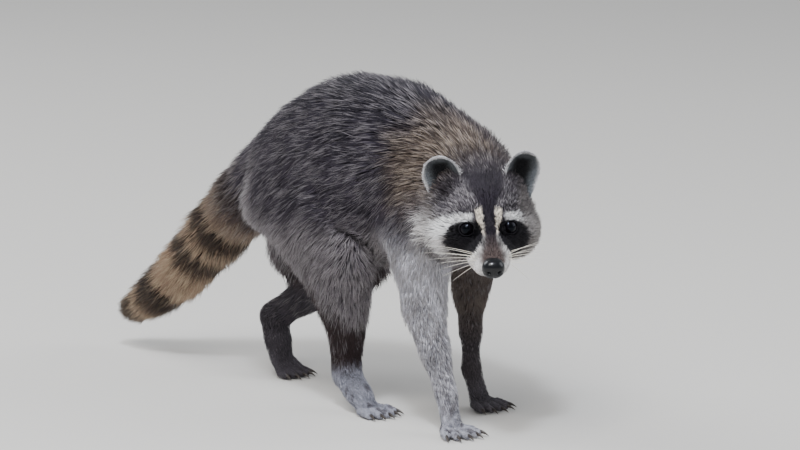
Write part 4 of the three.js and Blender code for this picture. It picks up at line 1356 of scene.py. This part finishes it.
def ear_surface(side, rows, columns):
    """
    A cupped ear: at each level from root to top a flat ring, widest halfway up and closing as
    sqrt(1 - shoulder^2) to a round top; its middle lies EAR_CUP behind its rim. Gives the mesh and
    each point's level, place across (-1 to 1) and face (1 inside, -1 outside).
    """
    base, top = [on_head(at * (side, 1, 1)) for at in (EAR_BASE, EAR_TOP + UPRIGHT * side)]
    rise = top - base
    facing = HEAD[1] + side * 0.4 * HEAD[0]
    facing = unit(facing - rise * (facing @ rise) / (rise @ rise))
    across = unit(np.cross(rise, facing))
    level = 1 - (1 - np.linspace(0, 1, rows)) ** 1.6
    angle = (np.arange(columns) + 0.5) * 2 * np.pi / columns
    level, angle = np.meshgrid(level, angle, indexing="ij")
    shoulder = np.maximum(level - 0.5, 0) / 0.5
    width = 0.78 + 0.22 * np.minimum(level / 0.5, 1)
    open_share = width * np.sqrt(1.002 - shoulder ** 2)
    half = EAR_HALF_WIDTH * open_share
    cup = EAR_CUP * open_share * np.minimum(5 * level, 1)
    aside = np.cos(angle) * half
    face = np.sign(np.sin(angle)) * np.abs(np.sin(angle)) ** 0.6
    depth = face * (0.8 + 0.9 * (1 - level)) - cup * (1 - (aside / half) ** 2)
    points = base + level[..., None] * rise * 0.985 + across * aside[..., None] + facing * depth[..., None]
    points = points.reshape(-1, 3)
    grid = np.arange(rows * columns).reshape(rows, columns)
    a, b, c, d = belts(grid)
    faces = [np.stack([a, b, c], -1).reshape(-1, 3), np.stack([a, c, d], -1).reshape(-1, 3)]
    for ring, order in ((grid[0], (0, 2, 1)), (grid[-1], (0, 1, 2))):
        cap = np.stack([np.full(columns, len(points)), ring, np.roll(ring, -1)], 1)
        points = np.vstack([points, points[ring].mean(0)])
        faces.append(cap[:, order])
    faces = np.concatenate(faces)
    if signed_volume(points, faces) < 0:
        faces = faces[:, ::-1]
    return points, faces, np.stack([np.append(level.ravel(), [0, 1]),
                                    np.append((aside / half).ravel(), [0, 0]),
                                    np.append(face.ravel(), [0, 0])], 1), (unit(rise), across)


def signed_volume(points, faces):
    """Above 0 where the faces look out: the sum of a . (b x c) / 6."""
    a, b, c = [points[faces[:, i]] for i in range(3)]
    return (a * np.cross(b, c)).sum() / 6


def ear_marks(level, aside, face, medial):
    """An ear's colours: grizzled outside, dark low inside, grey towards the rim, pale on it."""
    edge = np.maximum(np.abs(aside), ramp(0.55, 1.0, level))
    colour = np.tile(INK["ear"], (len(level), 1))
    paint(colour, "crown", ramp(0.5, 0.1, level))
    inside = ramp(-0.1, 0.3, face)
    paint(colour, "ear_inside", inside)
    grey = np.maximum(ramp(0.4, 0.95, edge), 0.8 * ramp(0.1, 0.7, medial) * ramp(0.05, 0.4, level))
    paint(colour, "ear_grey", inside * grey)
    paint(colour, "rim", ramp(0.86, 0.97, edge) * ramp(0.08, 0.3, level))
    return colour


def ear(side, name):
    """An ear's skin, and its fur: a fringe on the rim and short hair that lies up and outwards."""
    points, faces, marks, (rise, across) = ear_surface(side, 26, 40)
    inward = -side * np.sign(across @ HEAD[0])
    piece = mesh_object(f"ear_skin_{name}", points, faces)
    colour = ear_marks(*marks.T, marks[:, 1] * inward)
    dress(piece, SKIN, marking=colour, tipping=colour, grizzle=np.zeros(len(points)))

    level, aside, face = marks.T
    normals = normals_of(points, faces)
    rim = np.maximum(ramp(0.8, 0.97, np.abs(aside)), ramp(0.8, 0.98, level)) * ramp(0.02, 0.2, level)
    roots, root_normals, corner, share = rooted(points, faces, normals, 0.9 + 1.2 * rim)
    level, aside, face = spread_over(marks, corner, share).T
    edge = spread_over(rim, corner, share)
    medial = ramp(0.1, 0.8, aside * inward) * (face > 0)
    lies = rise + across * (aside * (0.5 + 0.9 * edge))[:, None]
    lies = unit(lies - root_normals * (lies * root_normals).sum(1, keepdims=True) * (1 - edge)[:, None])
    depth = 0.8 + 0.2 * edge + 1.2 * medial * ramp(0.9, 0.4, level)
    tips, lock = tips_of(roots, root_normals, lies, depth * (2.8 - 0.4 * edge), depth, False)
    colour = ear_marks(level + 0.03 * edge, aside, face, aside * inward)
    looks = dict(marking=colour, tipping=mixed(colour, INK["rim"], 0.5 * edge), grizzle=0.6 * edge,
                 strand=strand_of(roots, lock))
    uv = np.stack([0.25 + 0.2 * aside + 0.5 * (face > 0), level], 1)
    tufted(f"coat_ear_{name}", roots, tips, root_normals, depth, np.full(len(roots), 0.5), looks, uv)


ear(-1, "right")
ear(1, "left")


# ------------------------------------------------------------------ floor, light, camera
def floor():
    """A plain pale floor, far wider than the view."""
    reach = 9000.0
    corners = np.array([(-reach, -reach, 0), (reach, -reach, 0), (reach, reach, 0), (-reach, reach, 0)])
    mesh = bpy.data.meshes.new("floor")
    mesh.from_pydata((corners / 1000 - (0, 0, 0.0003)).tolist(), [], [(0, 1, 2, 3)])
    mesh.materials.append(material("pale_studio_floor", 0.85, Base_Color=opaque("#cfccc7")))
    placed("floor", mesh)


def lamp(name, at, size, power, colour):
    """A square soft box aimed at the animal's middle."""
    data = bpy.data.lights.new(name, "AREA")
    data.size = size
    data.energy = power
    data.color = colour
    back = unit(array(*at) - array(0, 0, 0.18))
    right = unit(np.cross(UPRIGHT, back))
    turned(placed(name, data), right, np.cross(back, right), back, at)


def turned(thing, right, up, back, at):
    """Places a camera or light by its three axes."""
    rows = np.eye(4)
    rows[:3, :3] = np.stack([right, up, back], 1)
    rows[:3, 3] = at
    thing.matrix_world = Matrix(rows.tolist())


CAMERA_TURN, CAMERA_RISE = np.radians([-43, 10])
CAMERA_AIM, CAMERA_DISTANCE, CAMERA_LENS = array(27.2, -9.3, 180), 4200, 185.22


def camera():
    """A long lens 4.2 m from the animal, to its front right and a little above."""
    back = array(np.sin(CAMERA_TURN) * np.cos(CAMERA_RISE), -np.cos(CAMERA_TURN) * np.cos(CAMERA_RISE),
                 np.sin(CAMERA_RISE))
    right = array(np.cos(CAMERA_TURN), np.sin(CAMERA_TURN), 0)
    data = bpy.data.cameras.new("camera")
    data.lens = CAMERA_LENS
    data.clip_end = 60
    made = placed("camera", data)
    at = (CAMERA_AIM + back * CAMERA_DISTANCE + SHIFT) / 1000
    turned(made, right, np.cross(back, right), back, at)
    scene.camera = made


floor()
camera()
lamp("key", (-2.4, -1.3, 3.6), 2.4, 165, (1, 0.98, 0.95))
lamp("glint", (-1.35, -1.2, 2.8), 0.34, 62, (0.82, 0.89, 1))
lamp("fill", (2.6, -2.4, 2.0), 2.6, 60, (0.93, 0.96, 1))
lamp("back", (-1.0, 3.0, 2.6), 2.2, 90, (0.95, 0.97, 1))
world = bpy.data.worlds.new("studio")
world.use_nodes = True
background = world.node_tree.nodes["Background"]
background.inputs["Color"].default_value = (0.86, 0.9, 0.96, 1)
background.inputs["Strength"].default_value = 0.55
scene.world = world
